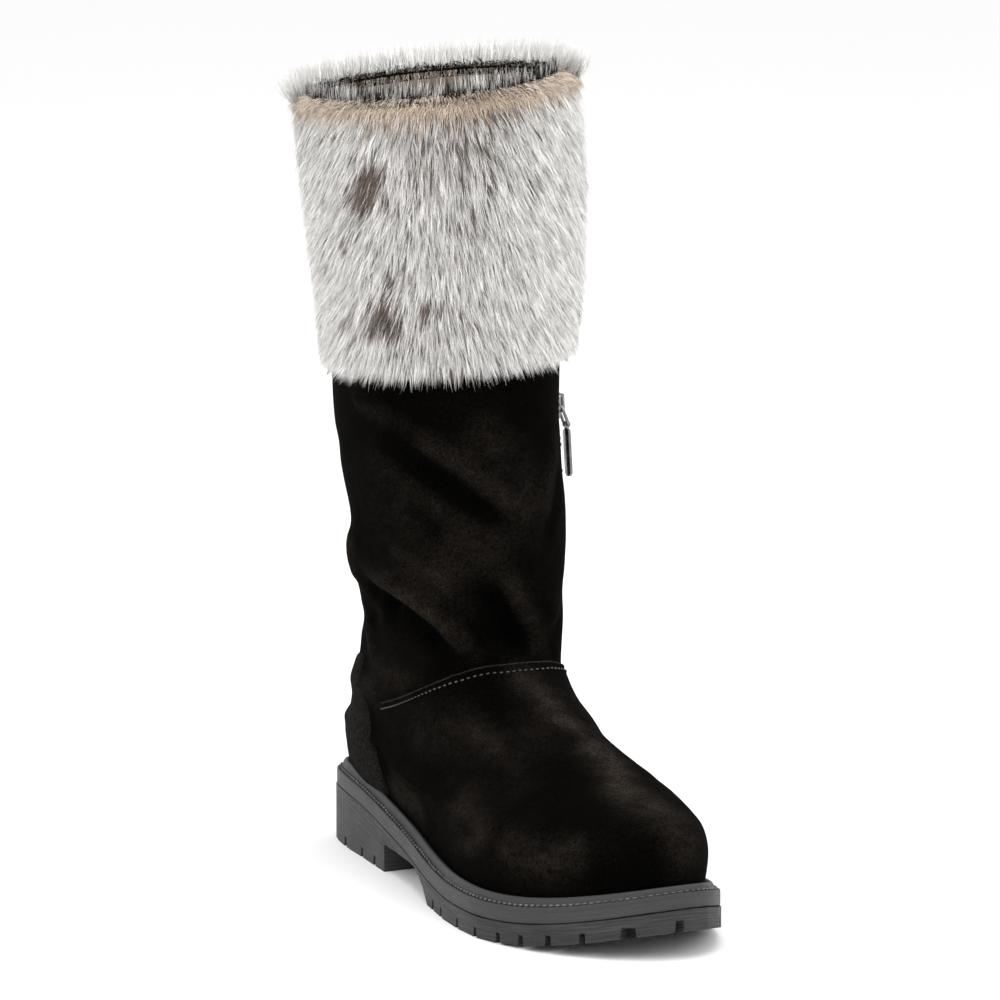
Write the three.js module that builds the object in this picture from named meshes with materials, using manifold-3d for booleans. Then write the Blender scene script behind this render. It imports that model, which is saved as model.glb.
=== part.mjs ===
// A right mukluk boot in millimetres: +Z up, toe towards -Y, inner (big toe) side towards +X.
// The origin is on the floor under the middle of the heel.
import * as THREE from 'three';
import { mergeVertices } from 'three/addons/utils/BufferGeometryUtils.js';
import Module from 'manifold-3d';

const wasm = await Module();
wasm.setup();

// Sole
const soleLength = 290;
const ballWidth = 103;
const heelSeat = 32.5;          // floor to the top of the welt at the heel
const forefootThickness = 16.6;
const midsoleThickness = 4.6;
const weltThickness = 2.4;
const toeSpring = 12.8;
const lugDepth = 4.4;
const notchWidth = 2.4;
const perimeterLug = 15;      // reach of the edge lugs under the sole
const treadChannel = 3.2;
const heelBreast = 0.288;     // shares of the sole's length from the heel
const archEnd = 0.44;
const treadStart = 0.515;
const archHeight = 12.4;
const springStart = 0.735;
const seatSlopeStart = 0.06;
const seatSlopeEnd = 0.62;
const weltLedge = 6.6;        // edge of the sole to the edge of the upper
const beadHeight = 3.3;
const insoleThickness = 4;
const insoleSeat = 0.5;       // over the welt, whose top is flat only across the sole

// Upper
const wall = 2.6;
const instepRise = 80;        // welt to the ankle seam, at the front
const collarHeight = 339;
const collarTilt = 5;         // front of the collar over its back
const collarCant = 5;         // inner side of the collar over its middle
const seamStep = 1.3;         // raised edge of the foot part over the shaft
const seamLine = 0.8;
const counterThickness = 1.5;

// Cuff
const cuffPile = 8.6;         // fur over the shaft
const cuffLip = 15;           // the part turned in over the collar
const lipPile = 4;
const hemLock = 4.5;
const hemLift = 0.20;         // of the way from the hem's ring to the next
const ridgeRise = 6;
const ridgeFall = 0.4;        // share of ridgeRise left where the ridge rolls over
const cuffSeat = 0.6;         // between the cuff's band and the shaft
const pileBias = 0.35;        // how much longer the pile is towards the inner side of the shin
const shaftMiddle = 0.24;     // middle of the shaft, as a share of the sole's length
const tuftDepth = 0.15;
const lockRoot = 2;           // from the hem up to where its locks part
const lockEvenness = 0.4;
const lockTurn = 2.4;         // each lock's length follows the last by this angle
const pileShare = { ridge: 0.85, above: 0.9, hem: 0.7, tips: 0.42 };    // of cuffPile

// Zip
const zipWidth = 19;
const zipRecess = 1.4;
const tapeThickness = 0.7;
const chainWidth = 5.6;
const chainThickness = 1.5;
const sliderWidth = 8.4;
const sliderLength = 12;
const sliderThickness = 2.4;
const bridgeWidth = 2;
const bridgeBar = 1.1;
const bridgeWindow = 2;
const wire = 1.1;
const linkLength = 9.6;
const linkWidth = 5.2;
const linkLean = 20;          // degrees out from the shaft, resting on the slider's nose
const tabLength = 23;
const tabWidth = 5.3;
const tabThickness = 1.2;
const knuckleWidth = 2.3;

const gap = 0.3;              // left between neighbouring pieces
const reach = 20;             // cutters run this far past what they cut
const half = 24;              // columns of facets along each side of the boot

// Rows of a table, each value under its column's name
function table(names, rows) {
  const keys = names.split(' ');
  return rows.map((row) => Object.fromEntries(keys.map((key, i) => [key, row[i]])));
}

// The welt's top: its rounded edge and stitch groove, then the rand bead in shares of its own size
const weltEdge = table('inset rise', [[0, -0.45], [0.6, 0], [1.5, -0.5], [2.3, 0]]);
const beadCrown = table('inset rise', [[0.46, 0.7], [0.64, 1], [0.84, 0.75]]);

// The sole's outline: share of the length from the heel, middle and half width as shares of ballWidth.
const outline = [
  { along: 0.00, middle: 0.000, halfWidth: 0.000 },
  { along: 0.02, middle: 0.002, halfWidth: 0.204 },
  { along: 0.08, middle: 0.008, halfWidth: 0.273 },
  { along: 0.16, middle: 0.004, halfWidth: 0.306 },
  { along: 0.26, middle: -0.024, halfWidth: 0.320 },
  { along: 0.38, middle: -0.058, halfWidth: 0.335 },
  { along: 0.50, middle: -0.082, halfWidth: 0.388 },
  { along: 0.62, middle: -0.073, halfWidth: 0.471 },
  { along: 0.72, middle: -0.073, halfWidth: 0.500 },
  { along: 0.82, middle: -0.058, halfWidth: 0.456 },
  { along: 0.90, middle: -0.042, halfWidth: 0.352 },
  { along: 0.96, middle: -0.016, halfWidth: 0.226 },
  { along: 1.00, middle: 0.016, halfWidth: 0.000 },
];

// The heel of the upper keeps the outline's shape this far along the sole, at this share of its width
const heelRound = { from: 0.10, to: 0.50, width: 0.92 };

// Rings of the foot part, from the welt to the ankle seam. Ends are shares of the length, rises
// shares of instepRise over the welt, widths and middles shares of ballWidth, inset a share of
// weltLedge. sole is how far a ring keeps to the outline, square how full its sides are, curve how
// far its middle follows the sole's bend, sag how much lower its sides lie, cant how much higher
// its inner side lies than its middle, heel how far its back keeps the heel's round shape.
const footColumns = 'back backRise front frontRise halfWidth inset sole square curve middle sag cant heel';
const footRings = table(footColumns, [
  [0.020,     0, 0.980,     0, 0.480,     1,     1,     0,     1,     0,     0,     0,     1],
  [0.020, 0.050, 0.980, 0.050, 0.490, 0.980,     1,     0,     1,     0,     0,     0,     1],
  [0.010, 0.115, 0.980, 0.125, 0.490, 0.800,     1,     0,     1,     0,     0,     0,     1],
  [0.010, 0.190, 0.980, 0.215, 0.490, 0.760,     1,     0,     1,     0,     0,     0,     1],
  [0.012, 0.245, 0.950, 0.310, 0.475, 0.800, 0.800, 0.020,     1, 0.010, 0.010, 0.030,     1],
  [0.014, 0.280, 0.921, 0.380, 0.452, 0.920, 0.500, 0.040,     1, 0.018, 0.020, 0.055,     1],
  [0.017, 0.305, 0.872, 0.462, 0.420,     1, 0.250, 0.050,     1, 0.026, 0.030, 0.080,     1],
  [0.020, 0.330, 0.806, 0.540, 0.386,     1, 0.100, 0.060, 0.950, 0.030, 0.030, 0.085,     1],
  [0.023, 0.352, 0.734, 0.605, 0.362,     1,     0, 0.070, 0.800, 0.033, 0.032, 0.085, 0.970],
  [0.026, 0.374, 0.652, 0.680, 0.352,     1,     0, 0.080, 0.550, 0.032, 0.042, 0.065, 0.930],
  [0.035, 0.394, 0.560, 0.795, 0.351,     1,     0, 0.090, 0.300, 0.028, 0.068, 0.040, 0.860],
  [0.047, 0.412, 0.466, 0.975, 0.358,     1,     0, 0.100, 0.100, 0.024, 0.095, 0.010, 0.780],
]);

// Rings of the shaft, from the ankle seam to the collar. Rises are shares of the way up, twist the
// share of ballWidth by which the back of the ring stands towards the inner side and its front away.
const shaftRings = table('back backRise front frontRise halfWidth middle twist square heel', [
  [0.058, 0.034, 0.462, 0.034, 0.378,  0.020,     0, 0.080, 0.660],
  [0.072, 0.076, 0.464, 0.069, 0.388,  0.030, 0.010, 0.070, 0.450],
  [0.082, 0.115, 0.468, 0.107, 0.396,  0.035, 0.020, 0.060, 0.220],
  [0.086, 0.156, 0.469, 0.146, 0.410,  0.038, 0.030, 0.050, 0.060],
  [0.086, 0.202, 0.466, 0.189, 0.424,  0.035, 0.040, 0.040,     0],
  [0.080, 0.256, 0.460, 0.236, 0.438,  0.030, 0.050, 0.030,     0],
  [0.068, 0.313, 0.455, 0.288, 0.452,  0.026, 0.060, 0.020,     0],
  [0.050, 0.374, 0.452, 0.339, 0.464,  0.024, 0.060, 0.020,     0],
  [0.039, 0.435, 0.451, 0.391, 0.472,  0.022, 0.060, 0.010,     0],
  [0.029, 0.492, 0.448, 0.442, 0.478,  0.016, 0.060, 0.010,     0],
  [0.022, 0.552, 0.445, 0.494, 0.484,  0.018, 0.050,     0,     0],
  [0.026, 0.700, 0.435, 0.670, 0.504,  0.020, 0.040,     0,     0],
  [0.016, 0.850, 0.425, 0.840, 0.520,  0.010, 0.020,     0,     0],
  [0.003,     1, 0.417,     1, 0.534, -0.014,     0,     0,     0],
]);
const hemRing = 10;           // the shaft ring behind the cuff's hem

// The zip's middle line and the counter's front edge: share of the length from the heel, at
// heights that are shares of collarHeight.
const zipLine = [
  { height: 0.06, along: 0.328 },
  { height: 0.11, along: 0.318 },
  { height: 0.16, along: 0.303 },
  { height: 0.26, along: 0.292 },
  { height: 0.36, along: 0.274 },
  { height: 0.52, along: 0.262 },
  { height: 0.64, along: 0.248 },
  { height: 1.00, along: 0.235 },
];
const counterLine = [
  { height: 0.06, along: 0.262 },
  { height: 0.13, along: 0.212 },
  { height: 0.20, along: 0.214 },
  { height: 0.27, along: 0.190 },
  { height: 0.50, along: 0.200 },
  { height: 1.00, along: 0.200 },
];

// Folds where the shaft slouches. around runs from the shin, 0, to the heel, 1 on the inner and
// -1 on the outer side; up from the ankle seam to the collar; width and depth in shares of ballWidth.
const folds = table('fromAround fromUp toAround toUp width depth', [
  [-0.24, 0.415, -0.04, 0.315, 0.080,  0.026],
  [-0.04, 0.315,  0.07, 0.285, 0.070,  0.020],
  [-0.20, 0.350,  0.02, 0.250, 0.080, -0.014],
  [-0.42, 0.175, -0.15, 0.072, 0.075,  0.028],
  [-0.15, 0.072, -0.04, 0.030, 0.070,  0.022],
  [-0.05, 0.085,  0.12, 0.035, 0.060, -0.024],
  [ 0.01, 0.200,  0.12, 0.050, 0.075,  0.026],
  [-0.54, 0.510, -0.40, 0.445, 0.070,  0.016],
  [-0.86, 0.265, -0.52, 0.235, 0.080, -0.018],
  [-0.78, 0.175, -0.50, 0.165, 0.090,  0.014],
  [-0.88, 0.080, -0.56, 0.088, 0.070, -0.024],
  [ 0.24, 0.310,  0.40, 0.250, 0.085,  0.018],
  [ 0.22, 0.150,  0.42, 0.100, 0.080, -0.016],
  [ 0.70, 0.230,  0.96, 0.190, 0.090,  0.018],
]);

// A smooth curve through one column of a table
function along(table, key, value, at) {
  const last = table.length - 1;
  const slope = (i) => (table[i + 1][value] - table[i][value]) / (table[i + 1][key] - table[i][key]);
  const tangent = (i) => {
    if (i === 0) return slope(0);
    if (i === last) return slope(last - 1);
    const a = slope(i - 1);
    const b = slope(i);
    return a * b > 0 ? (2 * a * b) / (a + b) : 0;
  };
  let i = 0;
  while (i < last - 1 && at > table[i + 1][key]) i += 1;
  const span = table[i + 1][key] - table[i][key];
  const t = THREE.MathUtils.clamp((at - table[i][key]) / span, 0, 1);
  const [t2, t3] = [t * t, t * t * t];
  return (2 * t3 - 3 * t2 + 1) * table[i][value] + (t3 - 2 * t2 + t) * span * tangent(i)
    + (3 * t2 - 2 * t3) * table[i + 1][value] + (t3 - t2) * span * tangent(i + 1);
}

const X = new THREE.Vector3(1, 0, 0);
const Y = new THREE.Vector3(0, 1, 0);
const Z = new THREE.Vector3(0, 0, 1);
const mix = THREE.MathUtils.lerp;
const turnAt = (share) => Math.acos(THREE.MathUtils.clamp(1 - 2 * share, -1, 1));
const shareAt = (turn) => (1 - Math.cos(turn)) / 2;
const heelBack = soleLength * 0.114;
const yAt = (share) => heelBack - soleLength * share;
const turned = outline.map((row) => ({ ...row, turn: turnAt(row.along) }));

// Heights of the sole along its length
const spring = (y) => {
  const share = (heelBack - y) / soleLength;
  return toeSpring * Math.max(0, (share - springStart) / (1 - springStart)) ** 2;
};
const seat = (y) => {
  const share = (heelBack - y) / soleLength;
  const down = THREE.MathUtils.smoothstep(share, seatSlopeStart, seatSlopeEnd);
  return mix(heelSeat, forefootThickness, down) + spring(y);
};

// A point of the outline; side is -1 on the outer and 1 on the inner side
function edgePoint(side, share) {
  const turn = turnAt(share);
  const x = along(turned, 'turn', 'middle', turn) + side * along(turned, 'turn', 'halfWidth', turn);
  return new THREE.Vector2(x * ballWidth, yAt(share));
}
function insetPoint(side, share, inset) {
  const step = 0.02;
  const near = (turn) => edgePoint(turn < 0 ? -side : side, shareAt(Math.abs(turn)));
  const turn = turnAt(share);
  const past = turn + step > Math.PI;
  const ahead = past ? edgePoint(-side, shareAt(2 * Math.PI - turn - step)) : near(turn + step);
  const run = ahead.sub(near(turn - step)).normalize();
  return edgePoint(side, share).add(new THREE.Vector2(run.y, -run.x).multiplyScalar(side * inset));
}

// Columns of facets round the boot, as base shares from heel to toe: the outer side evenly by turn,
// the inner side with five columns on the zip's edges and middle.
const counterColumn = 8;
const zipBase = { rear: 0.355, rearFloor: 0.3575, middle: 0.4, frontFloor: 0.4425, front: 0.445 };
const zipColumn = 10;
const counterEnd = 8;
const evenly = (from, to, count) => (
  Array.from({ length: count }, (_, i) => shareAt(mix(from, to, i / (count - 1))))
);
const outerBases = evenly(0, Math.PI, half + 1);
const innerBases = [
  ...evenly(0, turnAt(zipBase.rear), zipColumn + 1),
  zipBase.rearFloor, zipBase.middle, zipBase.frontFloor,
  ...evenly(turnAt(zipBase.front), Math.PI, half - zipColumn - 3),
];
const columns = [
  ...outerBases.map((base, index) => ({ side: -1, base, index })),
  ...innerBases.slice(1, -1).map((base, index) => ({ side: 1, base, index: index + 1 })).reverse(),
];
const columnOf = (side, index) => columns.findIndex((c) => c.side === side && c.index === index);

// A ring's own lengths, from its shares
function footRing(row) {
  const [yBack, yFront] = [yAt(row.back), yAt(row.front)];
  return {
    ...row, yBack, yFront,
    zBack: seat(yBack) + gap + row.backRise * instepRise,
    zFront: seat(yFront) + gap + row.frontRise * instepRise,
    twist: 0, cant: row.cant * instepRise,
  };
}
const seam = footRing(footRings[footRings.length - 1]);
function shaftRing(row) {
  return {
    ...row, sole: 0, curve: 0, sag: seam.sag * (1 - row.backRise) ** 8,
    yBack: yAt(row.back), yFront: yAt(row.front),
    zBack: mix(seam.zBack, collarHeight - collarTilt / 2, row.backRise),
    zFront: mix(seam.zFront, collarHeight + collarTilt / 2, row.frontRise),
    cant: mix(seam.cant, collarCant, row.backRise),
  };
}

// Spreads a side's base shares along a ring so that the zip and the counter's edge keep their columns
function spread(ring, side) {
  const line = side > 0 ? zipLine : counterLine;
  const depth = ring.yBack - ring.yFront;
  let share = 0.4;
  for (let pass = 0; pass < 4; pass += 1) {
    const height = mix(ring.zBack, ring.zFront, share) / collarHeight;
    share = (ring.yBack - yAt(along(line, 'height', 'along', height))) / depth;
  }
  const margin = zipWidth / 2 / depth;
  const knots = side > 0
    ? [[zipBase.rear, share - margin], [zipBase.middle, share], [zipBase.front, share + margin]]
    : [[outerBases[counterColumn], share]];
  return [[0, 0], ...knots, [1, 1]].map(([base, at]) => ({ base, at }));
}

function ringPoint(ring, side, base) {
  const share = along(ring.spread[side], 'base', 'at', base);
  const turn = turnAt(share);
  const y = mix(ring.yBack, ring.yFront, share);
  const bend = along(turned, 'turn', 'middle', turnAt((heelBack - y) / soleLength));
  const full = (Math.sin(turn) + ring.square * Math.sin(3 * turn)) / (1 - ring.square);
  const run = (share * (ring.yBack - ring.yFront)) / soleLength;
  const heel = ring.heel * (1 - THREE.MathUtils.smoothstep(run, heelRound.from, heelRound.to));
  const cup = heelRound.width * along(turned, 'turn', 'halfWidth', turnAt(run));
  const middle = mix(ring.middle, bend, ring.curve) + ring.twist * (1 - 2 * share);
  const sides = Math.sin(turn) ** 2;
  const oval = new THREE.Vector3(
    ballWidth * (middle + side * mix(ring.halfWidth * full, cup, heel)),
    y,
    mix(ring.zBack, ring.zFront, share) - ring.sag * instepRise * sides + side * ring.cant * Math.sin(turn),
  );
  if (ring.sole === 0) return oval;
  const edge = insetPoint(side, share, ring.inset * weltLedge);
  const rise = gap + mix(ring.backRise, ring.frontRise, share) * instepRise;
  return oval.lerp(new THREE.Vector3(edge.x, edge.y, seat(edge.y) + rise), ring.sole);
}

// The upper's outer face: rows of points from the welt to the collar, raised by folds and edges
const seamRow = footRings.length - 1;
const hemRow = seamRow + 2 + hemRing;
const rings = [
  ...footRings.map(footRing),
  { ...seam, zBack: seam.zBack + seamLine, zFront: seam.zFront + seamLine },
  ...shaftRings.map(shaftRing),
].map((ring) => ({ ...ring, spread: { '-1': spread(ring, -1), 1: spread(ring, 1) } }));
const bare = rings.map((ring) => columns.map((c) => ringPoint(ring, c.side, c.base)));

function normals(rows) {
  const count = columns.length;
  return rows.map((row, r) => row.map((_, k) => {
    const round = row[(k + 1) % count].clone().sub(row[(k + count - 1) % count]);
    const up = rows[Math.min(r + 1, rows.length - 1)][k].clone().sub(rows[Math.max(r - 1, 0)][k]);
    const out = round.cross(up).normalize();
    if (r === 0 || r >= hemRow) out.setZ(0).normalize();
    return out;
  }));
}

// Distance from the shin round to the heel, as a share: negative on the outer side
const aroundOf = (column) => column.side * (1 - turnAt(column.base) / Math.PI);
function foldRise(point, column) {
  const girth = 1.75 * ballWidth;
  const shaft = collarHeight - seam.zFront;
  const here = new THREE.Vector2(aroundOf(column) * girth, point.z);
  return folds.reduce((sum, fold) => {
    const from = new THREE.Vector2(fold.fromAround * girth, seam.zFront + fold.fromUp * shaft);
    const run = new THREE.Vector2(fold.toAround * girth, seam.zFront + fold.toUp * shaft).sub(from);
    const t = THREE.MathUtils.clamp(here.clone().sub(from).dot(run) / run.lengthSq(), 0, 1);
    const away = here.distanceTo(from.addScaledVector(run, t)) / (fold.width * ballWidth);
    return sum + fold.depth * ballWidth * Math.exp(-away * away);
  }, 0);
}

const bareNormals = normals(bare);
const skin = bare.map((row, r) => row.map((point, k) => {
  const low = THREE.MathUtils.smoothstep(r, 0, 3);
  return point.clone().addScaledVector(bareNormals[r][k], low * foldRise(point, columns[k]));
}));
const outward = normals(skin);

// How far each point of the wall stands out: the ankle seam's edge, the zip's flap and its recess
function raised(r, column) {
  const { side, index } = column;
  const inZip = side > 0 && index > zipColumn && index < zipColumn + 4;
  if (r > 0 && r <= hemRow && inZip) return -zipRecess;
  if (r > 0 && r < hemRow && side > 0 && index === zipColumn + 4) return seamStep / 2;
  const behind = side > 0 ? index <= zipColumn + 4 : index <= counterColumn;
  const fade = { [seamRow]: 1, [seamRow - 1]: 0.5, [seamRow - 2]: 0.15 }[r] ?? 0;
  return behind ? 0 : seamStep * fade;
}

// A point on the skin: a column may lie between two, and out is its height over the wall
function onSkin(r, k, out, lift = 0) {
  const row = Math.floor(r);
  const next = Math.min(row + 1, skin.length - 1);
  const at = (grid, line) => {
    const a = Math.floor(k);
    const b = (a + 1) % columns.length;
    return grid[line][a % columns.length].clone().lerp(grid[line][b], k - a);
  };
  const point = at(skin, row).lerp(at(skin, next), r - row);
  const normal = at(outward, row).lerp(at(outward, next), r - row);
  return point.addScaledVector(normal, out).add(new THREE.Vector3(0, 0, lift));
}

// A closed solid from closed rings of equally many points: joined end to end where looped, or with
// its first and last ring capped by a strip from side to side, which starts in a point where tipped
function solid(sections, { looped = false, tipped = false } = {}) {
  const count = sections[0].length;
  const points = sections.flat();
  const faces = [];
  // A quad is split along its shorter diagonal, alike on two pieces that lie on each other
  const quad = (a, b, c, d) => {
    const first = points[a].distanceTo(points[c]) <= points[b].distanceTo(points[d]);
    const halves = first ? [[a, b, c], [a, c, d]] : [[a, b, d], [b, c, d]];
    halves.filter((corners) => new Set(corners).size === 3).forEach((corners) => faces.push(...corners));
  };
  const bands = looped ? sections.length : sections.length - 1;
  for (let s = 0; s < bands; s += 1) {
    const [low, high] = [s * count, ((s + 1) % sections.length) * count];
    for (let k = 0; k < count; k += 1) {
      const n = (k + 1) % count;
      quad(low + k, low + n, high + n, high + k);
    }
  }
  const cap = (start, flip) => {
    const far = (k) => start + (tipped ? (count - k) % count : count - 1 - k);
    const steps = tipped ? count / 2 : Math.floor(count / 2) - 1;
    for (let k = 0; k < steps; k += 1) {
      const corners = [start + k, far(k), far(k + 1), start + k + 1];
      quad(...(flip ? corners.reverse() : corners));
    }
  };
  if (!looped) {
    cap(0, false);
    cap((sections.length - 1) * count, true);
  }
  const volume = faces.reduce((sum, _, i) => {
    if (i % 3) return sum;
    const [a, b, c] = [0, 1, 2].map((n) => points[faces[i + n]]);
    return sum + a.dot(b.clone().cross(c));
  }, 0);
  const geometry = new THREE.BufferGeometry();
  const positions = points.flatMap((point) => point.toArray());
  geometry.setAttribute('position', new THREE.Float32BufferAttribute(positions, 3));
  geometry.setIndex(volume > 0 ? faces : faces.reverse());
  geometry.computeVertexNormals();
  return geometry;
}

// Booleans
function toManifold(geometry) {
  const plain = geometry.clone();
  plain.deleteAttribute('normal');
  plain.deleteAttribute('uv');
  const merged = mergeVertices(plain, 1e-4);
  return new wasm.Manifold(new wasm.Mesh({
    numProp: 3,
    vertProperties: new Float32Array(merged.attributes.position.array),
    triVerts: new Uint32Array(merged.index.array),
  }));
}
function toGeometry(manifold) {
  const mesh = manifold.getMesh();
  const geometry = new THREE.BufferGeometry();
  geometry.setAttribute('position', new THREE.BufferAttribute(mesh.vertProperties, 3));
  geometry.setIndex(new THREE.BufferAttribute(mesh.triVerts, 1));
  geometry.computeVertexNormals();
  return geometry;
}
const cut = (geometry, cutters) => toGeometry(
  cutters.reduce((rest, cutter) => rest.subtract(toManifold(cutter)), toManifold(geometry)),
);
const join = (geometries) => toGeometry(
  geometries.map(toManifold).reduce((sum, piece) => sum.add(piece)),
);

// A ring round the sole, at an inset from its edge and a height that depends on y
const bottomSpread = rings[0].spread;
function soleRing(inset, height) {
  return columns.map(({ side, base }) => {
    const share = along(bottomSpread[side], 'base', 'at', base);
    const point = insetPoint(side, share, inset);
    return new THREE.Vector3(point.x, point.y, height(point.y));
  });
}
const overSeat = (lift) => (y) => seat(y) + lift;
const soleLayer = (rows) => solid(rows.map(([inset, height]) => soleRing(inset, height)), { tipped: true });

const midsoleTop = -weltThickness - gap;
const outsoleTop = midsoleTop - midsoleThickness - gap;
const midsoleLip = 0.7;

function welt() {
  const stitchGroove = weltEdge.map((row) => [row.inset, overSeat(row.rise)]);
  const bead = beadCrown.map((row) => [weltLedge * row.inset, overSeat(beadHeight * row.rise)]);
  return soleLayer([
    [0, overSeat(-weltThickness)], ...stitchGroove, ...bead, [weltLedge - gap, overSeat(0)],
  ]);
}

function midsole() {
  return soleLayer([
    [midsoleLip, overSeat(midsoleTop - midsoleThickness)],
    [0, overSeat(midsoleTop - midsoleThickness + midsoleLip)],
    [0, overSeat(midsoleTop)],
  ]);
}

// Tread: notches between the edge lugs, a channel inside them and chevrons across the middle
const notches = [
  { side: -1, width: 1, alongs: [0.102, 0.181, 0.241] },
  { side: -1, width: 1, alongs: [0.548, 0.594, 0.668, 0.730, 0.783, 0.827, 0.871, 0.917] },
  { side: -1, width: 2.4, alongs: [0.966] },
  { side: -1, width: 1.4, alongs: [0.9985] },
  { side: 1, width: 1, alongs: [0.102, 0.181, 0.241] },
  { side: 1, width: 1, alongs: [0.540, 0.590, 0.650, 0.712, 0.768, 0.818, 0.866, 0.908, 0.950] },
];
const chevrons = [0.575, 0.632, 0.718, 0.776, 0.834, 0.888];
const heelBars = [0.052, 0.192];

function trapezoid(width, depth) {
  const flare = 1.5;
  return new THREE.Shape([
    new THREE.Vector2(-width * flare / 2, -depth), new THREE.Vector2(width * flare / 2, -depth),
    new THREE.Vector2(width / 2, depth), new THREE.Vector2(-width / 2, depth),
  ]);
}
// A groove in the tread from one point to another, at the height of the sole there
function groove(from, to, width) {
  const run = to.clone().sub(from);
  const section = trapezoid(width, lugDepth);
  const shape = new THREE.ExtrudeGeometry(section, { depth: run.length(), bevelEnabled: false });
  const [low, high] = [spring(from.y), spring(to.y)];
  const axis = new THREE.Vector3(run.x, run.y, high - low).normalize();
  const across = new THREE.Vector3(0, 0, 1).cross(axis).normalize();
  const up = axis.clone().cross(across);
  const basis = new THREE.Matrix4().makeBasis(across, up, axis);
  return shape.applyMatrix4(basis.setPosition(from.x, from.y, low));
}
// The channel inside the edge lugs of the forefoot
function toeChannel() {
  const from = treadStart + 0.01;
  const route = columns
    .map(({ side, base }) => ({ side, share: along(bottomSpread[side], 'base', 'at', base) }))
    .filter(({ share }) => share > from);
  const [near, far] = [perimeterLug, perimeterLug + treadChannel];
  const section = [[near, -lugDepth], [near, lugDepth], [far, lugDepth], [far, -lugDepth]];
  return solid(route.map(({ side, share }) => section.map(([inset, height]) => {
    const point = insetPoint(side, share, inset);
    return new THREE.Vector3(point.x, point.y, spring(point.y) + height);
  })));
}

function outsole() {
  const block = soleLayer([
    [0, (y) => spring(y)],
    [0, overSeat(outsoleTop)],
  ]);
  // The arch is cut straight across from the heel's breast to the first forefoot lug
  const [breastY, archY, treadY] = [heelBreast, archEnd, treadStart].map(yAt);
  const side = new THREE.Shape();
  side.moveTo(breastY, -reach);
  side.lineTo(breastY, archHeight);
  side.lineTo(archY, archHeight - 0.6);
  side.quadraticCurveTo(mix(archY, treadY, 0.55), archHeight * 0.8, treadY, 0);
  side.lineTo(treadY, -reach);
  const through = { depth: 2 * ballWidth, bevelEnabled: false, curveSegments: 5 };
  const arch = new THREE.ExtrudeGeometry(side, through);
  arch.applyMatrix4(new THREE.Matrix4().makeBasis(Y, Z, X).setPosition(-ballWidth, 0, 0));
  const edgeGrooves = notches.flatMap(({ side: which, alongs, width }) => alongs.map((share) => groove(
    insetPoint(which, share, -3), insetPoint(which, share, perimeterLug + 1), notchWidth * width,
  )));
  const middleOf = (share) => along(turned, 'turn', 'middle', turnAt(share)) * ballWidth;
  const sweep = 0.03;
  const chevronGrooves = chevrons.flatMap((share) => [-1, 1].map((which) => groove(
    new THREE.Vector2(middleOf(share), yAt(share)),
    insetPoint(which, share - sweep, perimeterLug + treadChannel / 2), treadChannel,
  )));
  const heelGrooves = heelBars.map((share) => groove(
    insetPoint(-1, share, perimeterLug), insetPoint(1, share, perimeterLug), treadChannel,
  ));
  return cut(block, [arch, toeChannel(), ...edgeGrooves, ...chevronGrooves, ...heelGrooves]);
}

function insole() {
  const inset = weltLedge + wall + 2 * gap;
  return soleLayer([
    [inset, overSeat(insoleSeat)],
    [inset, overSeat(insoleSeat + insoleThickness)],
  ]);
}

function upper() {
  const outer = skin.map((_, r) => columns.map((c, k) => onSkin(r, k, raised(r, c))));
  const inner = skin.map((_, r) => columns.map((_c, k) => onSkin(r, k, -wall)));
  return solid([...outer, ...inner.reverse()], { looped: true });
}

// A thin piece that lies on the upper between two columns, as sections across it
function overlay(rows, ks, low, high) {
  return solid(rows.map((r) => [
    ...ks.map((k) => onSkin(r, k, high)),
    ...[...ks].reverse().map((k) => onSkin(r, k, low)),
  ]));
}
const rowsBetween = (from, to) => Array.from({ length: to - from + 1 }, (_, i) => from + i);

function heelCounter() {
  const ks = [
    ...rowsBetween(1, counterEnd).reverse().map((index) => columnOf(1, index)),
    ...rowsBetween(0, counterColumn).map((index) => columnOf(-1, index)),
  ];
  return overlay(rowsBetween(1, seamRow + 3), ks, gap, gap + counterThickness);
}

const tapeLow = gap - zipRecess;
const chainLow = tapeLow + tapeThickness + gap;
const zipRows = rowsBetween(2, hemRow);
const zipMiddle = columnOf(1, zipColumn + 2);
function zipTape() {
  const ks = [zipMiddle + 0.97, zipMiddle, zipMiddle - 0.97];
  return overlay(zipRows, ks, tapeLow, tapeLow + tapeThickness);
}
function zipChain() {
  const reachOut = chainWidth / zipWidth;
  const crown = reachOut * 0.7;
  return solid(zipRows.map((r) => [
    onSkin(r, zipMiddle + crown, chainLow + chainThickness),
    onSkin(r, zipMiddle - crown, chainLow + chainThickness),
    onSkin(r, zipMiddle - reachOut, chainLow),
    onSkin(r, zipMiddle + reachOut, chainLow),
  ]));
}

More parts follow.
